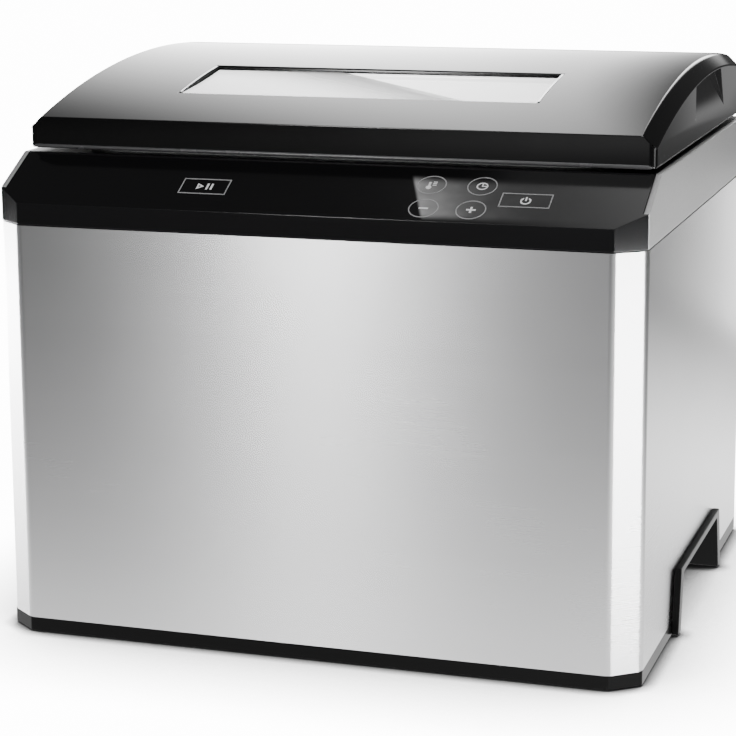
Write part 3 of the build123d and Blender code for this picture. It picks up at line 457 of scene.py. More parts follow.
def satinSteel(name, tone, rough):
    mat, tree, shader = startMaterial(name, Metallic=1.0)
    lines = useGroup(tree, "brushLines", Along=30.0, Across=700.0, Contrast=0.8)
    shade = tint(tree, lines.outputs["Tone"], (tone * 0.86,) * 3, (tone * 1.08,) * 3)
    wire(tree, shade, shader.inputs["Base Color"])
    wear(tree, shader, rough, 14.0, 0.16)
    bump(tree, lines.outputs["Height"], 0.00001, shader, 0.4)
    return mat


def glossBlack(name="lidGloss", rough=0.09, tone=0.002, streak=0.05, shine=0.42):
    mat, tree, shader = startMaterial(name, IOR=1.45, Specular_IOR_Level=shine)
    edge = useGroup(tree, "edgeMask", Radius=0.0006, Gain=4.0)
    shade = tint(tree, edge.outputs["Mask"], (tone, tone, tone * 1.08), (0.02, 0.02, 0.021))
    wire(tree, shade, shader.inputs["Base Color"])
    worn = useGroup(tree, "handling", Scale=16.0, Amount=0.06)
    lines = useGroup(tree, "brushLines", Along=4.0, Across=260.0, Contrast=streak)
    base = plus(tree, worn.outputs["Offset"], rough - streak / 2)
    wire(tree, plus(tree, base, times(tree, lines.outputs["Tone"], streak)), shader.inputs["Roughness"])
    bump(tree, worn.outputs["Offset"], 0.0004, shader, 0.5, 0.0005)
    return mat


panelSpec = {
    "lean": radians(27.6),
    "front": -0.155,
    # keys: place across and up the panel
    "framedKeys": [(-0.0625, 0.0219), (0.1146, 0.0210)],
    "iconWide": 0.0085,
    "iconTall": 0.004675,
    "roundKeys": [(0.0617, 0.0314), (0.0890, 0.0319), (0.0625, 0.0109), (0.0878, 0.0111)],
    "iconRound": 0.0062,
    "icon": (0.84, 0.84, 0.85),
    "lit": 0.16,  # painted glow: the print gives off light of its own
    "paintedGlowFrom": 0.0508,  # the painted glow around the round keys, at its upper end
    "paintedGlowEdge": 0.0012,
    "paintedGlowLean": 0.38,
    "paintedGlowFade": 0.022,
    "paintedGlowLow": (0.0, 0.007),  # where it fades in and out, up the panel
    "paintedGlowHigh": (0.040, 0.031),
    "paintedGlowTop": 0.036,
    # strength of the painted glow
    "glow": 0.27,
}


def panelPlace(tree):
    # place across the panel, and up its slope from the front edge
    x, y, z = axes(tree)
    return x, calc(tree, "DIVIDE", minus(tree, y, panelSpec["front"]), cos(panelSpec["lean"]))


def ease(tree, value, start, end):
    node = put(tree, "ShaderNodeMapRange", interpolation_type="SMOOTHSTEP")
    wire(tree, value, node.inputs["Value"])
    node.inputs["From Min"].default_value = start
    node.inputs["From Max"].default_value = end
    return node.outputs["Result"]


def panelGloss():
    # the smoked panel, with a painted glow around the round keys: the panel itself gives off light
    # there, and no lamp stands behind it
    spec = panelSpec
    mat = glossBlack("panelGloss", 0.10, 0.005, 0.03, 0.3)
    tree = mat.node_tree
    shader = tree.nodes["Principled BSDF"]
    x, up = panelPlace(tree)
    lean = times(tree, minus(tree, up, spec["paintedGlowTop"]), spec["paintedGlowLean"])
    inside = plus(tree, minus(tree, x, spec["paintedGlowFrom"]), lean)
    edge = ease(tree, inside, -spec["paintedGlowEdge"], spec["paintedGlowEdge"])
    away = calc(tree, "DIVIDE", inside, spec["paintedGlowFade"])
    fade = calc(tree, "EXPONENT", times(tree, away, -1.0))
    low, high = (ease(tree, up, *spec[end]) for end in ("paintedGlowLow", "paintedGlowHigh"))
    cloud = texture(tree, "Noise", in_Scale=70.0, in_Detail=2.0)
    paintedGlowMask = times(tree, times(tree, edge, fade), times(tree, low, high))
    paintedGlowMask = times(tree, paintedGlowMask, plus(tree, cloud.outputs["Fac"], 0.5))
    # painted glow: the mask sets how much light the panel gives off by itself
    wire(tree, tint(tree, paintedGlowMask, (0, 0, 0), (spec["glow"],) * 3), shader.inputs["Emission Color"])
    shader.inputs["Emission Strength"].default_value = 1.0
    return mat


def keyPrint():
    # rings and frames are a thin grey print, the icons inside them are nearly white; all of the print
    # also has a painted glow, from emission
    spec = panelSpec
    mat = plainCoat("keyPrint", (0.27, 0.27, 0.275), (0.36, 0.36, 0.365), 0.5, 900.0)
    tree = mat.node_tree
    shader = tree.nodes["Principled BSDF"]
    under = shader.inputs["Base Color"].links[0].from_socket
    x, up = panelPlace(tree)
    here = put(tree, "ShaderNodeCombineXYZ")
    wire(tree, x, here.inputs[0])
    wire(tree, up, here.inputs[1])
    icons = 0.0
    for across, rise in spec["framedKeys"]:
        beside = calc(tree, "ABSOLUTE", minus(tree, x, across))
        above = calc(tree, "ABSOLUTE", minus(tree, up, rise))
        nearX = calc(tree, "LESS_THAN", beside, spec["iconWide"])
        nearUp = calc(tree, "LESS_THAN", above, spec["iconTall"])
        icons = plus(tree, times(tree, nearX, nearUp), icons, clamp=True)
    for across, rise in spec["roundKeys"]:
        away = put(tree, "ShaderNodeVectorMath", operation="DISTANCE", in_1=(across, rise, 0))
        wire(tree, here.outputs[0], away.inputs[0])
        near = calc(tree, "LESS_THAN", away.outputs["Value"], spec["iconRound"])
        icons = plus(tree, near, icons, clamp=True)
    mix = put(tree, "ShaderNodeMix", data_type="RGBA")
    wire(tree, icons, mix.inputs[0])
    wire(tree, under, mix.inputs[6])
    mix.inputs[7].default_value = (*spec["icon"], 1)
    wire(tree, mix.outputs[2], shader.inputs["Base Color"])
    # painted glow: the print's colour is also given off as light
    wire(tree, mix.outputs[2], shader.inputs["Emission Color"])
    shader.inputs["Emission Strength"].default_value = spec["lit"]
    return mat


def mouldedBlack(name="mouldedBlack", tone=0.0035, rough=0.30, grain=1100.0, depth=0.00006):
    mat, tree, shader = startMaterial(name, IOR=1.45, Specular_IOR_Level=0.07)
    edge = useGroup(tree, "edgeMask", Radius=0.0007, Gain=5.0)
    shade = tint(tree, edge.outputs["Mask"], (tone,) * 3, (tone * 2.4,) * 3)
    wire(tree, shade, shader.inputs["Base Color"])
    wear(tree, shader, rough, 18.0, 0.14)
    skin = useGroup(tree, "mouldGrain", Scale=grain)
    bump(tree, skin.outputs["Height"], depth, shader, 0.35, 0.0004)
    return mat


def silverPaint():
    mat, tree, shader = startMaterial("silverPaint", Metallic=0.55)
    flake = texture(tree, "Voronoi", in_Scale=3200.0)
    pale = greyRamp(tree, flake.outputs["Color"], [(0.0, 0.40), (0.6, 0.47), (1.0, 0.56)])
    wire(tree, pale, shader.inputs["Base Color"])
    wear(tree, shader, 0.38, 12.0, 0.08)
    skin = useGroup(tree, "mouldGrain", Scale=2200.0)
    bump(tree, skin.outputs["Height"], 0.00002, shader, 0.3, 0.0004)
    return mat


def plainCoat(name, low, high, rough, scale=140.0, metallic=0.0, depth=0.00003):
    # small parts: a mottled colour with a fine grain
    mat, tree, shader = startMaterial(name, Metallic=metallic)
    mottle = texture(tree, "Noise", in_Scale=scale, in_Detail=4.0)
    wire(tree, tint(tree, mottle.outputs["Fac"], low, high), shader.inputs["Base Color"])
    wear(tree, shader, rough, 30.0, 0.18)
    skin = useGroup(tree, "mouldGrain", Scale=1500.0)
    bump(tree, skin.outputs["Height"], depth, shader, 0.4)
    return mat


paneSpec = {
    "from": (0.017, -0.039),  # the diagonal line of the painted reflection wedge, as x and y
    "to": (0.062, -0.068),
    "fade": 0.06,
    "past": (-0.0003, 0.0012),
    "dull": 0.30,
    "rough": 0.03,
}


def clearPane():
    # glass with a clear coat, and a painted reflection on it: the coat's weight falls towards a fixed
    # diagonal line and rises again just past it, which lays a darker wedge on the pane
    spec = paneSpec
    mat, tree, shader = startMaterial("clearPane", Metallic=0.0, Transmission_Weight=1.0, IOR=1.35)
    haze = texture(tree, "Noise", in_Scale=24.0, in_Detail=3.0)
    pale = tint(tree, haze.outputs["Fac"], (0.86, 0.88, 0.88), (0.93, 0.94, 0.94))
    wire(tree, pale, shader.inputs["Base Color"])
    x, y, z = axes(tree)
    (x0, y0), (x1, y1) = spec["from"], spec["to"]
    long = sqrt((x1 - x0) ** 2 + (y1 - y0) ** 2)
    acrossX = times(tree, minus(tree, x, x0), (y0 - y1) / long)
    acrossY = times(tree, minus(tree, y, y0), (x1 - x0) / long)
    away = plus(tree, acrossX, acrossY)
    before = ease(tree, away, 0.0, -spec["fade"])
    # painted reflection: the coat's weight dips towards the line and comes back just past it
    weight = calc(tree, "MAXIMUM", before, ease(tree, away, *spec["past"]))
    wire(tree, weight, shader.inputs["Coat Weight"])
    # painted reflection: where the coat is thin, the pane is also rougher
    dull = times(tree, minus(tree, 1.0, weight), spec["dull"])
    wear(tree, shader, plus(tree, dull, spec["rough"]), 20.0, 0.04)
    shader.inputs["Coat IOR"].default_value = 2.4
    shader.inputs["Coat Roughness"].default_value = 0.05
    return mat


finishes = {
    "brushed_steel": casingSteel(),
    "painted_panel": plainCoat("rearPaint", (0.020, 0.020, 0.022), (0.032, 0.032, 0.034), 0.46, 260.0),
    "black_plastic": mouldedBlack(),
    "grip_plastic": mouldedBlack("gripBlack", 0.005, 0.30, 1300.0, 0.00005),
    "rubber": plainCoat("footRubber", (0.012,) * 3, (0.024,) * 3, 0.78, 500.0, depth=0.0001),
    "steel_screw": satinSteel("screwSteel", 0.48, 0.34),
    "pin_metal": plainCoat("pinBrass", (0.50, 0.42, 0.22), (0.66, 0.57, 0.33), 0.26, 300.0, 1.0),
    "gloss_black": glossBlack(),
    "control_fascia": panelGloss(),
    "silver_trim": silverPaint(),
    "key_print": keyPrint(),
    "circuit_board": plainCoat("boardGreen", (0.010, 0.07, 0.03), (0.02, 0.13, 0.055), 0.35, 320.0),
    "dark_module": plainCoat("moduleBlack", (0.02, 0.02, 0.022), (0.04, 0.04, 0.043), 0.4, 400.0),
    "transformer_core": plainCoat("coilTape", (0.45, 0.33, 0.06), (0.60, 0.46, 0.10), 0.5, 220.0),
    "capacitor_can": plainCoat("canSleeve", (0.03, 0.05, 0.16), (0.05, 0.08, 0.24), 0.35, 220.0),
    "aluminium_part": satinSteel("plainAluminium", 0.70, 0.40),
    "tub_steel": satinSteel("tubSteel", 0.60, 0.24),
    "silicone": plainCoat("siliconeGrey", (0.42,) * 3, (0.52,) * 3, 0.62, 200.0),
    "jacket_fibre": plainCoat(
        "jacketFelt", (0.55, 0.54, 0.50), (0.78, 0.77, 0.72), 0.95, 700.0, depth=0.0006
    ),
    "rack_wire": satinSteel("rackWire", 0.72, 0.16),
    "liner_plastic": mouldedBlack("linerGrey", 0.06, 0.48, 900.0),
    "clear_pane": clearPane(),
}
slotOfNode = {part["node"]: part["material_slot"] for part in frame["record"]["subparts"]}


def finishOf(node):
    return finishes.get(node, finishes[slotOfNode[node]])


for name, ob in nodes.items():
    ob.data.materials.clear()
    ob.data.materials.append(finishOf(name))
print("bath: finishes on", len(nodes), "nodes")


# mesh helpers

def newObject(name, mesh):
    ob = bpy.data.objects.new(name, mesh)
    bpy.context.scene.collection.objects.link(ob)
    return ob


def meshFrom(name, verts, faces):
    mesh = bpy.data.meshes.new(name)
    mesh.from_pydata(verts, [], faces)
    mesh.update()
    return mesh


def outward(mesh):
    work = bmesh.new()
    work.from_mesh(mesh)
    bmesh.ops.remove_doubles(work, verts=work.verts, dist=1e-6)
    bmesh.ops.recalc_face_normals(work, faces=work.faces)
    work.to_mesh(mesh)
    work.free()


def bake(ob):
    # the evaluated object as a plain mesh; the working object goes
    graph = bpy.context.evaluated_depsgraph_get()
    mesh = bpy.data.meshes.new_from_object(ob.evaluated_get(graph), depsgraph=graph)
    bpy.data.objects.remove(ob)
    return mesh


def grow(ob, tree, **values):
    # the object through a tree of geometry nodes, as a plain mesh
    worker = ob.modifiers.new("grow", "NODES")
    worker.node_group = tree
    for item in tree.interface.items_tree:
        if item.in_out == "INPUT" and item.name in values:
            worker[item.identifier] = values[item.name]
    return bake(ob)


def combine(ob, other, operation="DIFFERENCE"):
    solid = ob.modifiers.new("combine", "BOOLEAN")
    solid.operation = operation
    solid.solver = "EXACT"
    solid.object = other


def settle(name, mesh, node, lean=None):
    # a finished piece: smooth faces with crisp edges, on the body of the node it stands for
    mesh.shade_smooth()
    mesh.set_sharp_from_angle(angle=radians(35))
    mesh.materials.clear()
    mesh.materials.append(finishOf(node))
    ob = newObject(name, mesh)
    even = ob.modifiers.new("even", "WEIGHTED_NORMAL")
    even.keep_sharp = True
    ready = bake(ob)
    if lean is not None:
        turned = [tuple(n.vector) for n in ready.corner_normals]
        for face in ready.polygons:
            for corner in face.loop_indices:
                spot = ready.vertices[ready.loops[corner].vertex_index].co
                better = lean(spot, face.normal)
                if better is not None:
                    turned[corner] = better
        ready.normals_split_custom_set(turned)
    mount(name, ready, node)


def mount(name, mesh, node, replaces=True):
    mesh.name = name
    ob = newObject(name, mesh)
    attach(ob, bodyOfNode[node])
    if replaces:
        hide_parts(node)


def weighEdges(mesh, choose, widest):
    # bevel width of each edge, as a share of the widest
    name = "bevel_weight_edge"
    layer = mesh.attributes.get(name) or mesh.attributes.new(name, "FLOAT", "EDGE")
    for edge in mesh.edges:
        a, b = (mesh.vertices[i].co for i in edge.vertices)
        layer.data[edge.index].value = choose(a, b) / widest


def roundEdges(ob, width, segments, angle=None):
    soft = ob.modifiers.new("soft", "BEVEL")
    soft.width = width
    soft.segments = segments
    soft.miter_outer = "MITER_ARC"
    soft.use_clamp_overlap = angle is not None
    if angle is None:
        soft.limit_method = "WEIGHT"
    else:
        soft.limit_method = "ANGLE"
        soft.angle_limit = radians(angle)


# lid shell: arched sheet with bevelled sides, finger recesses and a window

lidSpec = {
    "radius": 0.633,
    "peakBack": 0.0885,  # from the rear to the highest line
    "bevel": 0.007,
    "wall": 0.0027,
    "rearRound": 0.0065,
    "cornerRound": 0.004,
    "rearDrop": 0.0004,  # how much lower the rear round ends
    "sheetEdge": 0.0018,  # where the top meets the side bevel
    "bevelEdge": 0.0006,
    "frontEdge": 0.0003,
    "lowerEdge": 0.0016,
    "steps": 44,
    "rearSteps": 8,
    "edgeSteps": 4,
    "windowHalf": 0.104,
    "windowFront": 0.043,  # from the lid's front
    "windowSpan": 0.059,
    "windowEdge": 0.0013,
    "windowFoot": 0.003,  # the opening's cutter starts above the lid's rim
    "recessFront": 0.113,
    "recessTop": 0.0695,
    "recessFoot": 0.0575,
    "recessLow": 0.279,
    "recessDeep": 0.005,
    "recessRoof": 0.001,
    "recessSteps": 16,
    "beyond": 0.004,  # how far the recess cutter stands out
    "hair": 0.00002,
}
touch = 2e-5  # closer than this counts as on a line
lidLow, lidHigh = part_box("lid_shell")


def arch(y, inset=0.0):
    back = y - (lidHigh.y - lidSpec["peakBack"])
    return lidHigh.z - lidSpec["radius"] + sqrt((lidSpec["radius"] - inset) ** 2 - back * back)


def lidBlock(name, inset):
    half = lidHigh.x - inset
    sheet = half - lidSpec["bevel"]
    front, rear = lidLow.y + inset, lidHigh.y - inset
    bottom = lidLow.z if inset == 0 else lidLow.z - 0.001
    curl = lidSpec["rearRound"] - inset
    steps = lidSpec["steps"]
    line = []
    for i in range(steps + 1):
        y = front + (rear - curl - front) * i / steps
        line.append((y, arch(y, inset)))
    startZ = line[-1][1]
    for i in range(1, lidSpec["rearSteps"] + 1):
        turn = radians(90) * i / lidSpec["rearSteps"]
        z = startZ - curl + curl * cos(turn) - lidSpec["rearDrop"] * sin(turn)
        line.append((rear - curl + curl * sin(turn), z))
    verts, rows = [], []
    for y, z in line:
        side = min(arch(y, inset + lidSpec["bevel"]), z - 0.0003)
        rows.append(len(verts))
        verts += [(-half, y, side), (-sheet, y, z), (sheet, y, z), (half, y, side)]
    low = len(verts)
    verts += [(-half, front, bottom), (half, front, bottom), (half, rear, bottom), (-half, rear, bottom)]
    faces = []
    for a, b in zip(rows, rows[1:]):
        faces += [(a + k, a + k + 1, b + k + 1, b + k) for k in range(3)]
    first, last = rows[0], rows[-1]
    faces.append((low, low + 1, first + 3, first + 2, first + 1, first))
    faces.append((low + 2, low + 3, last, last + 1, last + 2, last + 3))
    faces.append((low + 1, low + 2, *[r + 3 for r in reversed(rows)]))
    faces.append((low + 3, low, *rows))
    faces.append((low + 3, low + 2, low + 1, low))
    mesh = meshFrom(name, verts, faces)
    outward(mesh)
    return mesh


def lidEdgeWidth(a, b):
    # how far each edge of the shell is rounded
    half, sheet = lidHigh.x, lidHigh.x - lidSpec["bevel"]

    def both(test):
        return test(a) and test(b)

    if both(lambda p: abs(p.z - lidLow.z) < touch):
        outside = both(lambda p: abs(p.x) > half - touch) or both(lambda p: p.y < lidLow.y + touch)
        outside = outside or both(lambda p: p.y > lidHigh.y - touch)
        return lidSpec["lowerEdge"] if outside else 0.0
    atFront = both(lambda p: abs(p.y - lidLow.y) < touch)
    near = a.x * b.x > 0  # both ends on the same side of the lid
    onSide = near and both(lambda p: abs(abs(p.x) - half) < touch)
    onSheet = near and both(lambda p: abs(abs(p.x) - sheet) < touch and p.z > arch(p.y) - 0.004)
    onBevel = onSide and both(lambda p: abs(p.z - arch(p.y, lidSpec["bevel"])) < 0.0004)
    if onSide and atFront:
        return lidSpec["cornerRound"]
    if onSide and both(lambda p: abs(p.y - lidHigh.y) < touch):
        return lidSpec["lowerEdge"]
    if atFront:
        return lidSpec["frontEdge"]
    if onSheet:
        return lidSpec["sheetEdge"]
    if onBevel:
        return lidSpec["bevelEdge"]
    wide, y0 = lidSpec["windowHalf"], lidLow.y + lidSpec["windowFront"]
    y1 = y0 + lidSpec["windowSpan"]
    beside = both(lambda p: abs(abs(p.x) - wide) < touch and y0 - touch < p.y < y1 + touch)
    across = both(lambda p: abs(p.x) < wide + touch and min(abs(p.y - y0), abs(p.y - y1)) < touch)
    if (beside or across) and both(lambda p: p.z > arch(p.y) - 0.0005):
        return lidSpec["windowEdge"]
    return 0.0


def recessCutter(name, side, inset):
    spec = lidSpec
    y0 = lidLow.y + spec["recessFront"] - inset
    y1 = lidHigh.y - spec["recessTop"] + inset
    y2 = lidHigh.y - spec["recessFoot"] + inset
    low = spec["recessLow"] - inset
    drop = spec["bevel"] + spec["recessRoof"] - inset
    roof = [y0 + (y1 - y0) * i / spec["recessSteps"] for i in range(spec["recessSteps"] + 1)]
    line = [(y, arch(y, drop)) for y in roof] + [(y2, low), (y0, low)]
    tall = lidHigh.z - spec["recessLow"]
    slope = spec["recessDeep"] / (tall - spec["bevel"])
    half = lidHigh.x - inset
    outer = [(side * (lidHigh.x + spec["beyond"]), y, z) for y, z in line]
    inner = [(side * (half - slope * (z - low) + spec["hair"]), y, z) for y, z in line]
    count = len(line)
    faces = [tuple(range(count)), tuple(range(2 * count - 1, count - 1, -1))]
    faces += [(i, (i + 1) % count, count + (i + 1) % count, count + i) for i in range(count)]
    mesh = meshFrom(name, outer + inner, faces)
    outward(mesh)
    return newObject(name, mesh)


def boxCutter(name, low, high):
    ends = list(zip(low, high))
    corners = [(x, y, z) for x in ends[0] for y in ends[1] for z in ends[2]]
    faces = [(0, 1, 3, 2), (4, 6, 7, 5), (0, 4, 5, 1), (2, 3, 7, 6), (0, 2, 6, 4), (1, 5, 7, 3)]
    mesh = meshFrom(name, corners, faces)
    outward(mesh)
    return newObject(name, mesh)


def archLean(spot, faceNormal):
    # the true normal of the arched top, where a face belongs to it
    back = spot.y - (lidHigh.y - lidSpec["peakBack"])
    centre = lidHigh.z - lidSpec["radius"]
    out = Vector((0, back, spot.z - centre)).normalized()
    onTop = spot.y < lidHigh.y - lidSpec["rearRound"] + 1e-4 and abs(spot.z - arch(spot.y)) < 0.0003
    return tuple(out) if onTop and faceNormal.dot(out) > 0.975 else None


def makeLidShell():
    spec = lidSpec
    inner = newObject("lidHollow", lidBlock("lidHollow", spec["wall"]))
    outer = newObject("lidSkin", lidBlock("lidSkin", 0.0))
    cutters = []
    for side in (-1, 1):
        wide, tight = recessCutter("recess", side, spec["wall"]), recessCutter("recess", side, 0.0)
        combine(inner, wide)
        combine(outer, tight)
        cutters += [wide, tight]
    hollow = newObject("hollow", bake(inner))
    y0 = lidLow.y + spec["windowFront"]
    low = (-spec["windowHalf"], y0, lidLow.z + spec["windowFoot"])
    high = (spec["windowHalf"], y0 + spec["windowSpan"], lidHigh.z + 0.01)
    cutters += [hollow, boxCutter("opening", low, high)]
    for cutter in cutters[-2:]:
        combine(outer, cutter)
    mesh = bake(outer)
    for cutter in cutters:
        bpy.data.objects.remove(cutter)
    weighEdges(mesh, lidEdgeWidth, spec["cornerRound"])
    shell = newObject("lidCut", mesh)
    roundEdges(shell, spec["cornerRound"], spec["edgeSteps"])
    settle("lidShell", bake(shell), "lid_shell", archLean)


makeLidShell()
print("bath: lid shell")


# window pane: a flange under the shell and a raised middle that fills the opening

def archSlab(name, half, y0, y1, top, bottom, steps=14):
    # top is one depth below the lid's arch, or a pair for a flat face: at the front and at the rear
    verts, faces = [], []
    for i in range(steps + 1):
        y = y0 + (y1 - y0) * i / steps
        low = arch(y, bottom)
        if isinstance(top, tuple):
            first, last = arch(y0) - top[0], arch(y1) - top[1]
            high = first + (last - first) * i / steps
        else:
            high = arch(y, top)
        verts += [(-half, y, high), (half, y, high), (half, y, low), (-half, y, low)]
    for i in range(steps):
        a, b = 4 * i, 4 * i + 4
        faces += [(a + k, a + (k + 1) % 4, b + (k + 1) % 4, b + k) for k in range(4)]
    faces += [(3, 2, 1, 0), tuple(4 * steps + k for k in range(4))]
    mesh = meshFrom(name, verts, faces)
    outward(mesh)
    return mesh


paneForm = {
    "gap": 0.0002,
    "sunk": (0.0004, 0.0016),  # below the lid's top, at the front and at the rear
    "edge": 0.00015,
}


def makePane():
    low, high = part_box("lid_window")
    top = arch(high.y) - high.z
    bottom = arch(low.y) - low.z
    y0 = lidLow.y + lidSpec["windowFront"] + paneForm["gap"]
    y1 = y0 + lidSpec["windowSpan"] - 2 * paneForm["gap"]
    half = lidSpec["windowHalf"] - paneForm["gap"]
    middle = archSlab("raised", half, y0, y1, paneForm["sunk"], (top + bottom) / 2)
    raised = newObject("raised", middle)
    pane = newObject("pane", archSlab("pane", high.x, low.y, high.y, top, bottom))
    combine(pane, raised, "UNION")
    mesh = bake(pane)
    bpy.data.objects.remove(raised)
    pane = newObject("pane", mesh)
    roundEdges(pane, paneForm["edge"], 2, 40.0)
    settle("windowPane", bake(pane), "lid_window")


makePane()


# bead along the lid's lower edge, swept round its outline by geometry nodes

beadSpec = {
    "radius": 0.0012,
    "out": 0.0006,  # how far it stands out at the front, at the sides and at the rear
    "outBeside": -0.0001,
    "outBehind": 0.0003,
    "above": 0.0012,
    "rearRound": 0.0015,
    "sides": 14,
}


def finishTree(tree, geometry, given, result):
    # real faces in the given finish
    real = tree.nodes.new("GeometryNodeRealizeInstances")
    wire(tree, geometry, real.inputs[0])
    finish = tree.nodes.new("GeometryNodeSetMaterial")
    wire(tree, real.outputs[0], finish.inputs["Geometry"])
    wire(tree, given.outputs["Finish"], finish.inputs["Material"])
    wire(tree, finish.outputs[0], result.inputs[0])
    return tree


def makeSweepTree():
    # lines in, a round bead along each of them out
    tree, given, result = newGroup(
        "sweep",
        [
            ("Geometry", "Geometry"),
            ("Radius", "Float", 0.001),
            ("Sides", "Int", 12),
            ("Finish", "Material"),
        ],
        [("Geometry", "Geometry")],
        "GeometryNodeTree",
    )
    path = tree.nodes.new("GeometryNodeMeshToCurve")
    wire(tree, given.outputs["Geometry"], path.inputs["Mesh"])
    ring = tree.nodes.new("GeometryNodeCurvePrimitiveCircle")
    wire(tree, given.outputs["Sides"], ring.inputs["Resolution"])
    wire(tree, given.outputs["Radius"], ring.inputs["Radius"])
    skin = tree.nodes.new("GeometryNodeCurveToMesh")
    wire(tree, path.outputs["Curve"], skin.inputs["Curve"])
    wire(tree, ring.outputs["Curve"], skin.inputs["Profile Curve"])
    skin.inputs["Fill Caps"].default_value = True
    smooth = tree.nodes.new("GeometryNodeSetShadeSmooth")
    wire(tree, skin.outputs["Mesh"], smooth.inputs[0])
    return finishTree(tree, smooth.outputs[0], given, result)


sweepTree = makeSweepTree()


def sweep(name, lines, closed, spec, finish, node):
    # round beads along one or more lines of points
    spots, edges = [], []
    for line in lines:
        first = len(spots)
        spots += line
        edges += [(first + i, first + i + 1) for i in range(len(line) - 1)]
        if closed:
            edges.append((len(spots) - 1, first))
    mesh = bpy.data.meshes.new(name)
    mesh.from_pydata(spots, edges, [])
    path = newObject(name, mesh)
    ready = grow(path, sweepTree, Radius=spec["radius"], Sides=spec["sides"], Finish=finish)
    outward(ready)
    mount(name, ready, node, replaces=False)


def roundedOutline(half, front, rear, frontRound, rearRound, z, steps=6):
    spots = []
    corners = [
        (half, front, frontRound, -90),
        (half, rear, rearRound, 0),
        (-half, rear, rearRound, 90),
        (-half, front, frontRound, 180),
    ]
    for x, y, radius, start in corners:
        cx = x - radius if x > 0 else x + radius
        cy = y + radius if y == front else y - radius
        for i in range(steps + 1):
            turn = radians(start + 90 * i / steps)
            spots.append((cx + radius * cos(turn), cy + radius * sin(turn), z))
    return spots


def makeBead():
    spec = beadSpec
    # painted sheen: the bead is a grey lighter than the lid's black plastic it belongs to, which
    # brightens the line it draws beyond what the lamps give
    lip = plainCoat("lipPaintedSheen", (0.055, 0.055, 0.057), (0.075, 0.075, 0.077), 0.26)
    half = lidHigh.x + spec["outBeside"] - spec["radius"]
    front = lidLow.y - spec["out"] + spec["radius"]
    rear = lidHigh.y + spec["outBehind"] - spec["radius"]
    z = lidLow.z + spec["above"]
    spots = roundedOutline(half, front, rear, lidSpec["cornerRound"], spec["rearRound"], z)
    sweep("lidBead", [spots], True, spec, lip, "lid_shell")


# polished strips in both ends of the window
rimSpec = {"radius": 0.0011, "sides": 14, "above": 0.0001, "inside": 0.0001, "ends": 0.0016, "steps": 12}


def makeRims():
    spec = rimSpec
    polish = plainCoat("polishedRim", (0.80, 0.80, 0.81), (0.88, 0.88, 0.89), 0.12, 300.0, metallic=1.0)
    y0 = lidLow.y + lidSpec["windowFront"] + spec["ends"]
    long = lidSpec["windowSpan"] - 2 * spec["ends"]
    ys = [y0 + long * i / spec["steps"] for i in range(spec["steps"] + 1)]
    lines = []
    for side in (-1, 1):
        x = side * (lidSpec["windowHalf"] - spec["inside"])
        lines.append([(x, y, arch(y) - spec["radius"] + spec["above"]) for y in ys])
    sweep("windowRims", lines, False, spec, polish, "lid_shell")


makeBead()
makeRims()
print("bath: pane and bead")


# panels whose edges are rounded: copies of the CAD solids, merged and softened

softened = {
    # node: (piece, edge radius, least angle, segments)
    "control_fascia": ("controlFascia", 0.0009, 20.0, 3),
    "side_trim_left": ("sideTrimLeft", 0.0005, 25.0, 2),
    "side_trim_right": ("sideTrimRight", 0.0005, 25.0, 2),
    "hand_grip_left": ("gripLeft", 0.0006, 25.0, 2),
    "hand_grip_right": ("gripRight", 0.0006, 25.0, 2),
    "base_tray": ("baseTray", 0.0005, 30.0, 2),
    "top_frame": ("topFrame", 0.0005, 30.0, 2),
    "rear_panel": ("rearPanel", 0.0003, 30.0, 2),
    "power_inlet": ("powerInlet", 0.0004, 30.0, 2),
    "lid_liner": ("lidLiner", 0.0005, 30.0, 2),
    "touch_board": ("touchBoard", 0.0002, 30.0, 1),
    "display_module": ("displayModule", 0.0003, 30.0, 2),
}


def softCopy(node, piece, width, angle, segments):
    source = nodes[node].data
    faces = [tuple(p.vertices) for p in source.polygons]
    mesh = meshFrom(piece, [v.co[:] for v in source.vertices], faces)
    work = bmesh.new()
    work.from_mesh(mesh)
    bmesh.ops.remove_doubles(work, verts=work.verts, dist=2e-6)
    bmesh.ops.dissolve_limit(work, angle_limit=radians(0.4), verts=work.verts, edges=work.edges)
    work.to_mesh(mesh)
    work.free()
    ob = newObject(piece, mesh)
    roundEdges(ob, width, segments, angle)
    settle(piece, bake(ob), node)


for node, spec in softened.items():
    softCopy(node, *spec)
print("bath: softened panels", len(softened))


# screws: one pan head with a cross recess, set on every seat by geometry nodes

panHead = {
    "sides": 20,
    "dome": 0.42,  # the dome's share of the head's height
    "flat": 0.4,  # the flat top's share of its radius
    "crossWide": 0.30,
    "crossLong": 0.62,
    "crossDeep": 0.55,
    "sizeShare": 0.995,  # a hair inside the solid that it stands for
}


def lathe(name, profile, sides):
    verts, faces = [(0, 0, profile[0][1])], []
    for r, z in profile[1:-1]:
        verts += [(r * cos(2 * pi * i / sides), r * sin(2 * pi * i / sides), z) for i in range(sides)]
    verts.append((0, 0, profile[-1][1]))
    rings = len(profile) - 2
    for i in range(sides):
        j = (i + 1) % sides
        faces.append((0, 1 + j, 1 + i))
        for k in range(rings - 1):
            a, b = 1 + k * sides, 1 + (k + 1) * sides
            faces.append((a + i, a + j, b + j, b + i))
        last = 1 + (rings - 1) * sides
        faces.append((last + i, last + j, len(verts) - 1))
    mesh = meshFrom(name, verts, faces)
    outward(mesh)
    return mesh


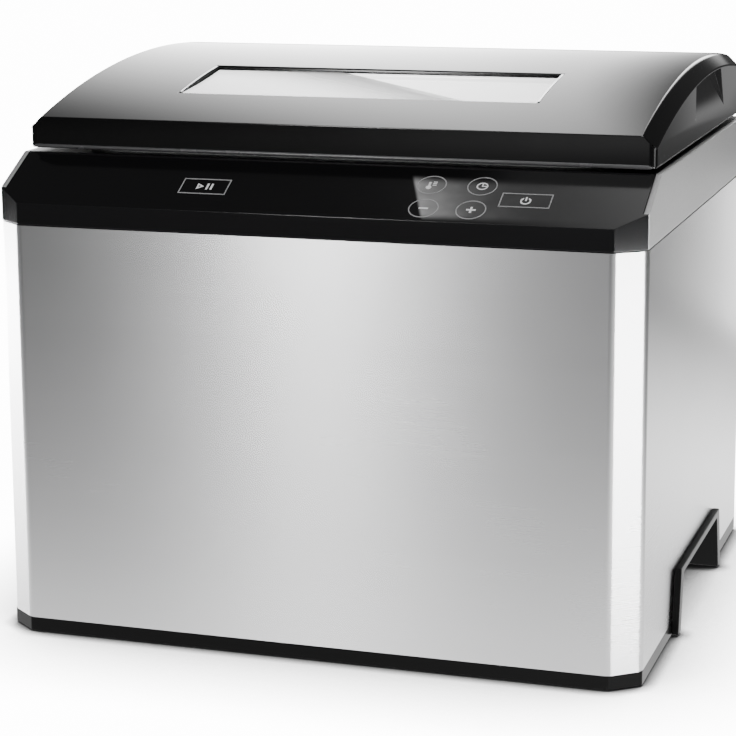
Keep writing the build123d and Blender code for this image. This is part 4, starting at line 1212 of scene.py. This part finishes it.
def makePanScrew(headRadius, headTall, shankRadius, length):
    # head up, its seat at the origin, shank down
    top, rise, tip = headTall, headTall * panHead["dome"], headTall - length
    profile = [(0, tip), (shankRadius * 0.6, tip), (shankRadius, tip + headTall * 0.4)]
    pitch = max(shankRadius * 0.5, 0.0003)
    turns = int((length - headTall * 2.2) / pitch)
    for i in range(turns):
        z = tip + headTall * 0.5 + i * pitch
        profile += [(shankRadius * 0.82, z), (shankRadius, z + pitch * 0.5)]
    profile += [(shankRadius * 0.9, -0.0002), (headRadius * 0.9, 0.0), (headRadius, headTall * 0.12)]
    for i in range(6):
        turn = radians(90) * i / 6
        profile.append((headRadius * (0.62 + 0.38 * cos(turn)), top - rise + rise * sin(turn)))
    profile += [(headRadius * panHead["flat"], top), (0, top)]
    body = newObject("panScrew", lathe("panScrew", profile, panHead["sides"]))
    wide, deep = headRadius * panHead["crossWide"] / 2, headTall * panHead["crossDeep"]
    reach = headRadius * panHead["crossLong"]
    cutters = []
    for a, b in ((reach, wide), (wide, reach)):
        cutter = boxCutter("slot", (-a, -b, top - deep), (a, b, top + 0.001))
        combine(body, cutter)
        cutters.append(cutter)
    mesh = bake(body)
    for cutter in cutters:
        bpy.data.objects.remove(cutter)
    mesh.shade_smooth()
    mesh.set_sharp_from_angle(angle=radians(34))
    return mesh


def makeScrewTree():
    # seats with an upright in, screws that are turned at random out
    tree, given, result = newGroup(
        "screwField",
        [("Geometry", "Geometry"), ("Screw", "Object"), ("Finish", "Material"), ("Seed", "Int", 4)],
        [("Geometry", "Geometry")],
        "GeometryNodeTree",
    )
    one = put(tree, "GeometryNodeObjectInfo", transform_space="ORIGINAL")
    wire(tree, given.outputs["Screw"], one.inputs["Object"])
    upright = put(tree, "GeometryNodeInputNamedAttribute", data_type="FLOAT_VECTOR", in_Name="upright")
    aim = put(tree, "FunctionNodeAlignRotationToVector", axis="Z")
    wire(tree, upright.outputs["Attribute"], aim.inputs["Vector"])
    spin = put(tree, "FunctionNodeRandomValue", data_type="FLOAT")
    spin.inputs[3].default_value = 6.283  # a whole turn
    wire(tree, given.outputs["Seed"], spin.inputs["Seed"])
    around = put(tree, "ShaderNodeCombineXYZ")
    wire(tree, spin.outputs[1], around.inputs["Z"])
    turn = put(tree, "FunctionNodeEulerToRotation")
    wire(tree, around.outputs[0], turn.inputs[0])
    both = put(tree, "FunctionNodeRotateRotation", rotation_space="LOCAL")
    wire(tree, aim.outputs[0], both.inputs[0])
    wire(tree, turn.outputs[0], both.inputs[1])
    copies = put(tree, "GeometryNodeInstanceOnPoints")
    wire(tree, given.outputs["Geometry"], copies.inputs["Points"])
    wire(tree, one.outputs["Geometry"], copies.inputs["Instance"])
    wire(tree, both.outputs[0], copies.inputs["Rotation"])
    return finishTree(tree, copies.outputs[0], given, result)


def islands(mesh):
    # the corners of each separate solid's box
    work = bmesh.new()
    work.from_mesh(mesh)
    bmesh.ops.remove_doubles(work, verts=work.verts, dist=1e-6)
    seen, found = set(), []
    for start in work.verts:
        if start in seen:
            continue
        seen.add(start)
        stack, spots = [start], []
        while stack:
            vert = stack.pop()
            spots.append(vert.co.copy())
            for edge in vert.link_edges:
                other = edge.other_vert(vert)
                if other not in seen:
                    seen.add(other)
                    stack.append(other)
        low = Vector([min(p[k] for p in spots) for k in range(3)])
        high = Vector([max(p[k] for p in spots) for k in range(3)])
        found.append((low, high))
    work.free()
    return found


screwRows = {
    # node: (axis, which end has the head, head height, shank radius)
    "base_screws": (2, -1, 0.0016, 0.00145),
    "deck_screws": (2, -1, 0.0018, 0.00145),
    "rear_screws": (1, 1, 0.0018, 0.00145),
}
screwTree = makeScrewTree()


def setScrews(node, axis, end, headTall, shankRadius):
    spots = []
    across, share = (axis + 1) % 3, panHead["sizeShare"]
    for low, high in islands(nodes[node].data):
        headRadius, length = (high[across] - low[across]) / 2, high[axis] - low[axis]
        seat = (low + high) / 2
        seat[axis] = low[axis] + headTall if end < 0 else high[axis] - headTall
        spots.append(tuple(seat))
    mesh = meshFrom(node + "Seats", spots, [])
    upright = mesh.attributes.new("upright", "FLOAT_VECTOR", "POINT")
    for row in upright.data:
        row.vector[axis] = end
    solid = makePanScrew(headRadius * share, headTall, shankRadius, length * share)
    screw, seats = newObject("panScrew", solid), newObject(node + "Seats", mesh)
    ready = grow(seats, screwTree, Screw=screw, Finish=finishOf(node), Seed=4)
    bpy.data.objects.remove(screw)
    words = node.split("_")
    mount(words[0] + words[1].capitalize() + "Heads", ready, node)


for node, spec in screwRows.items():
    setScrews(node, *spec)
print("bath: screws", len(screwRows))
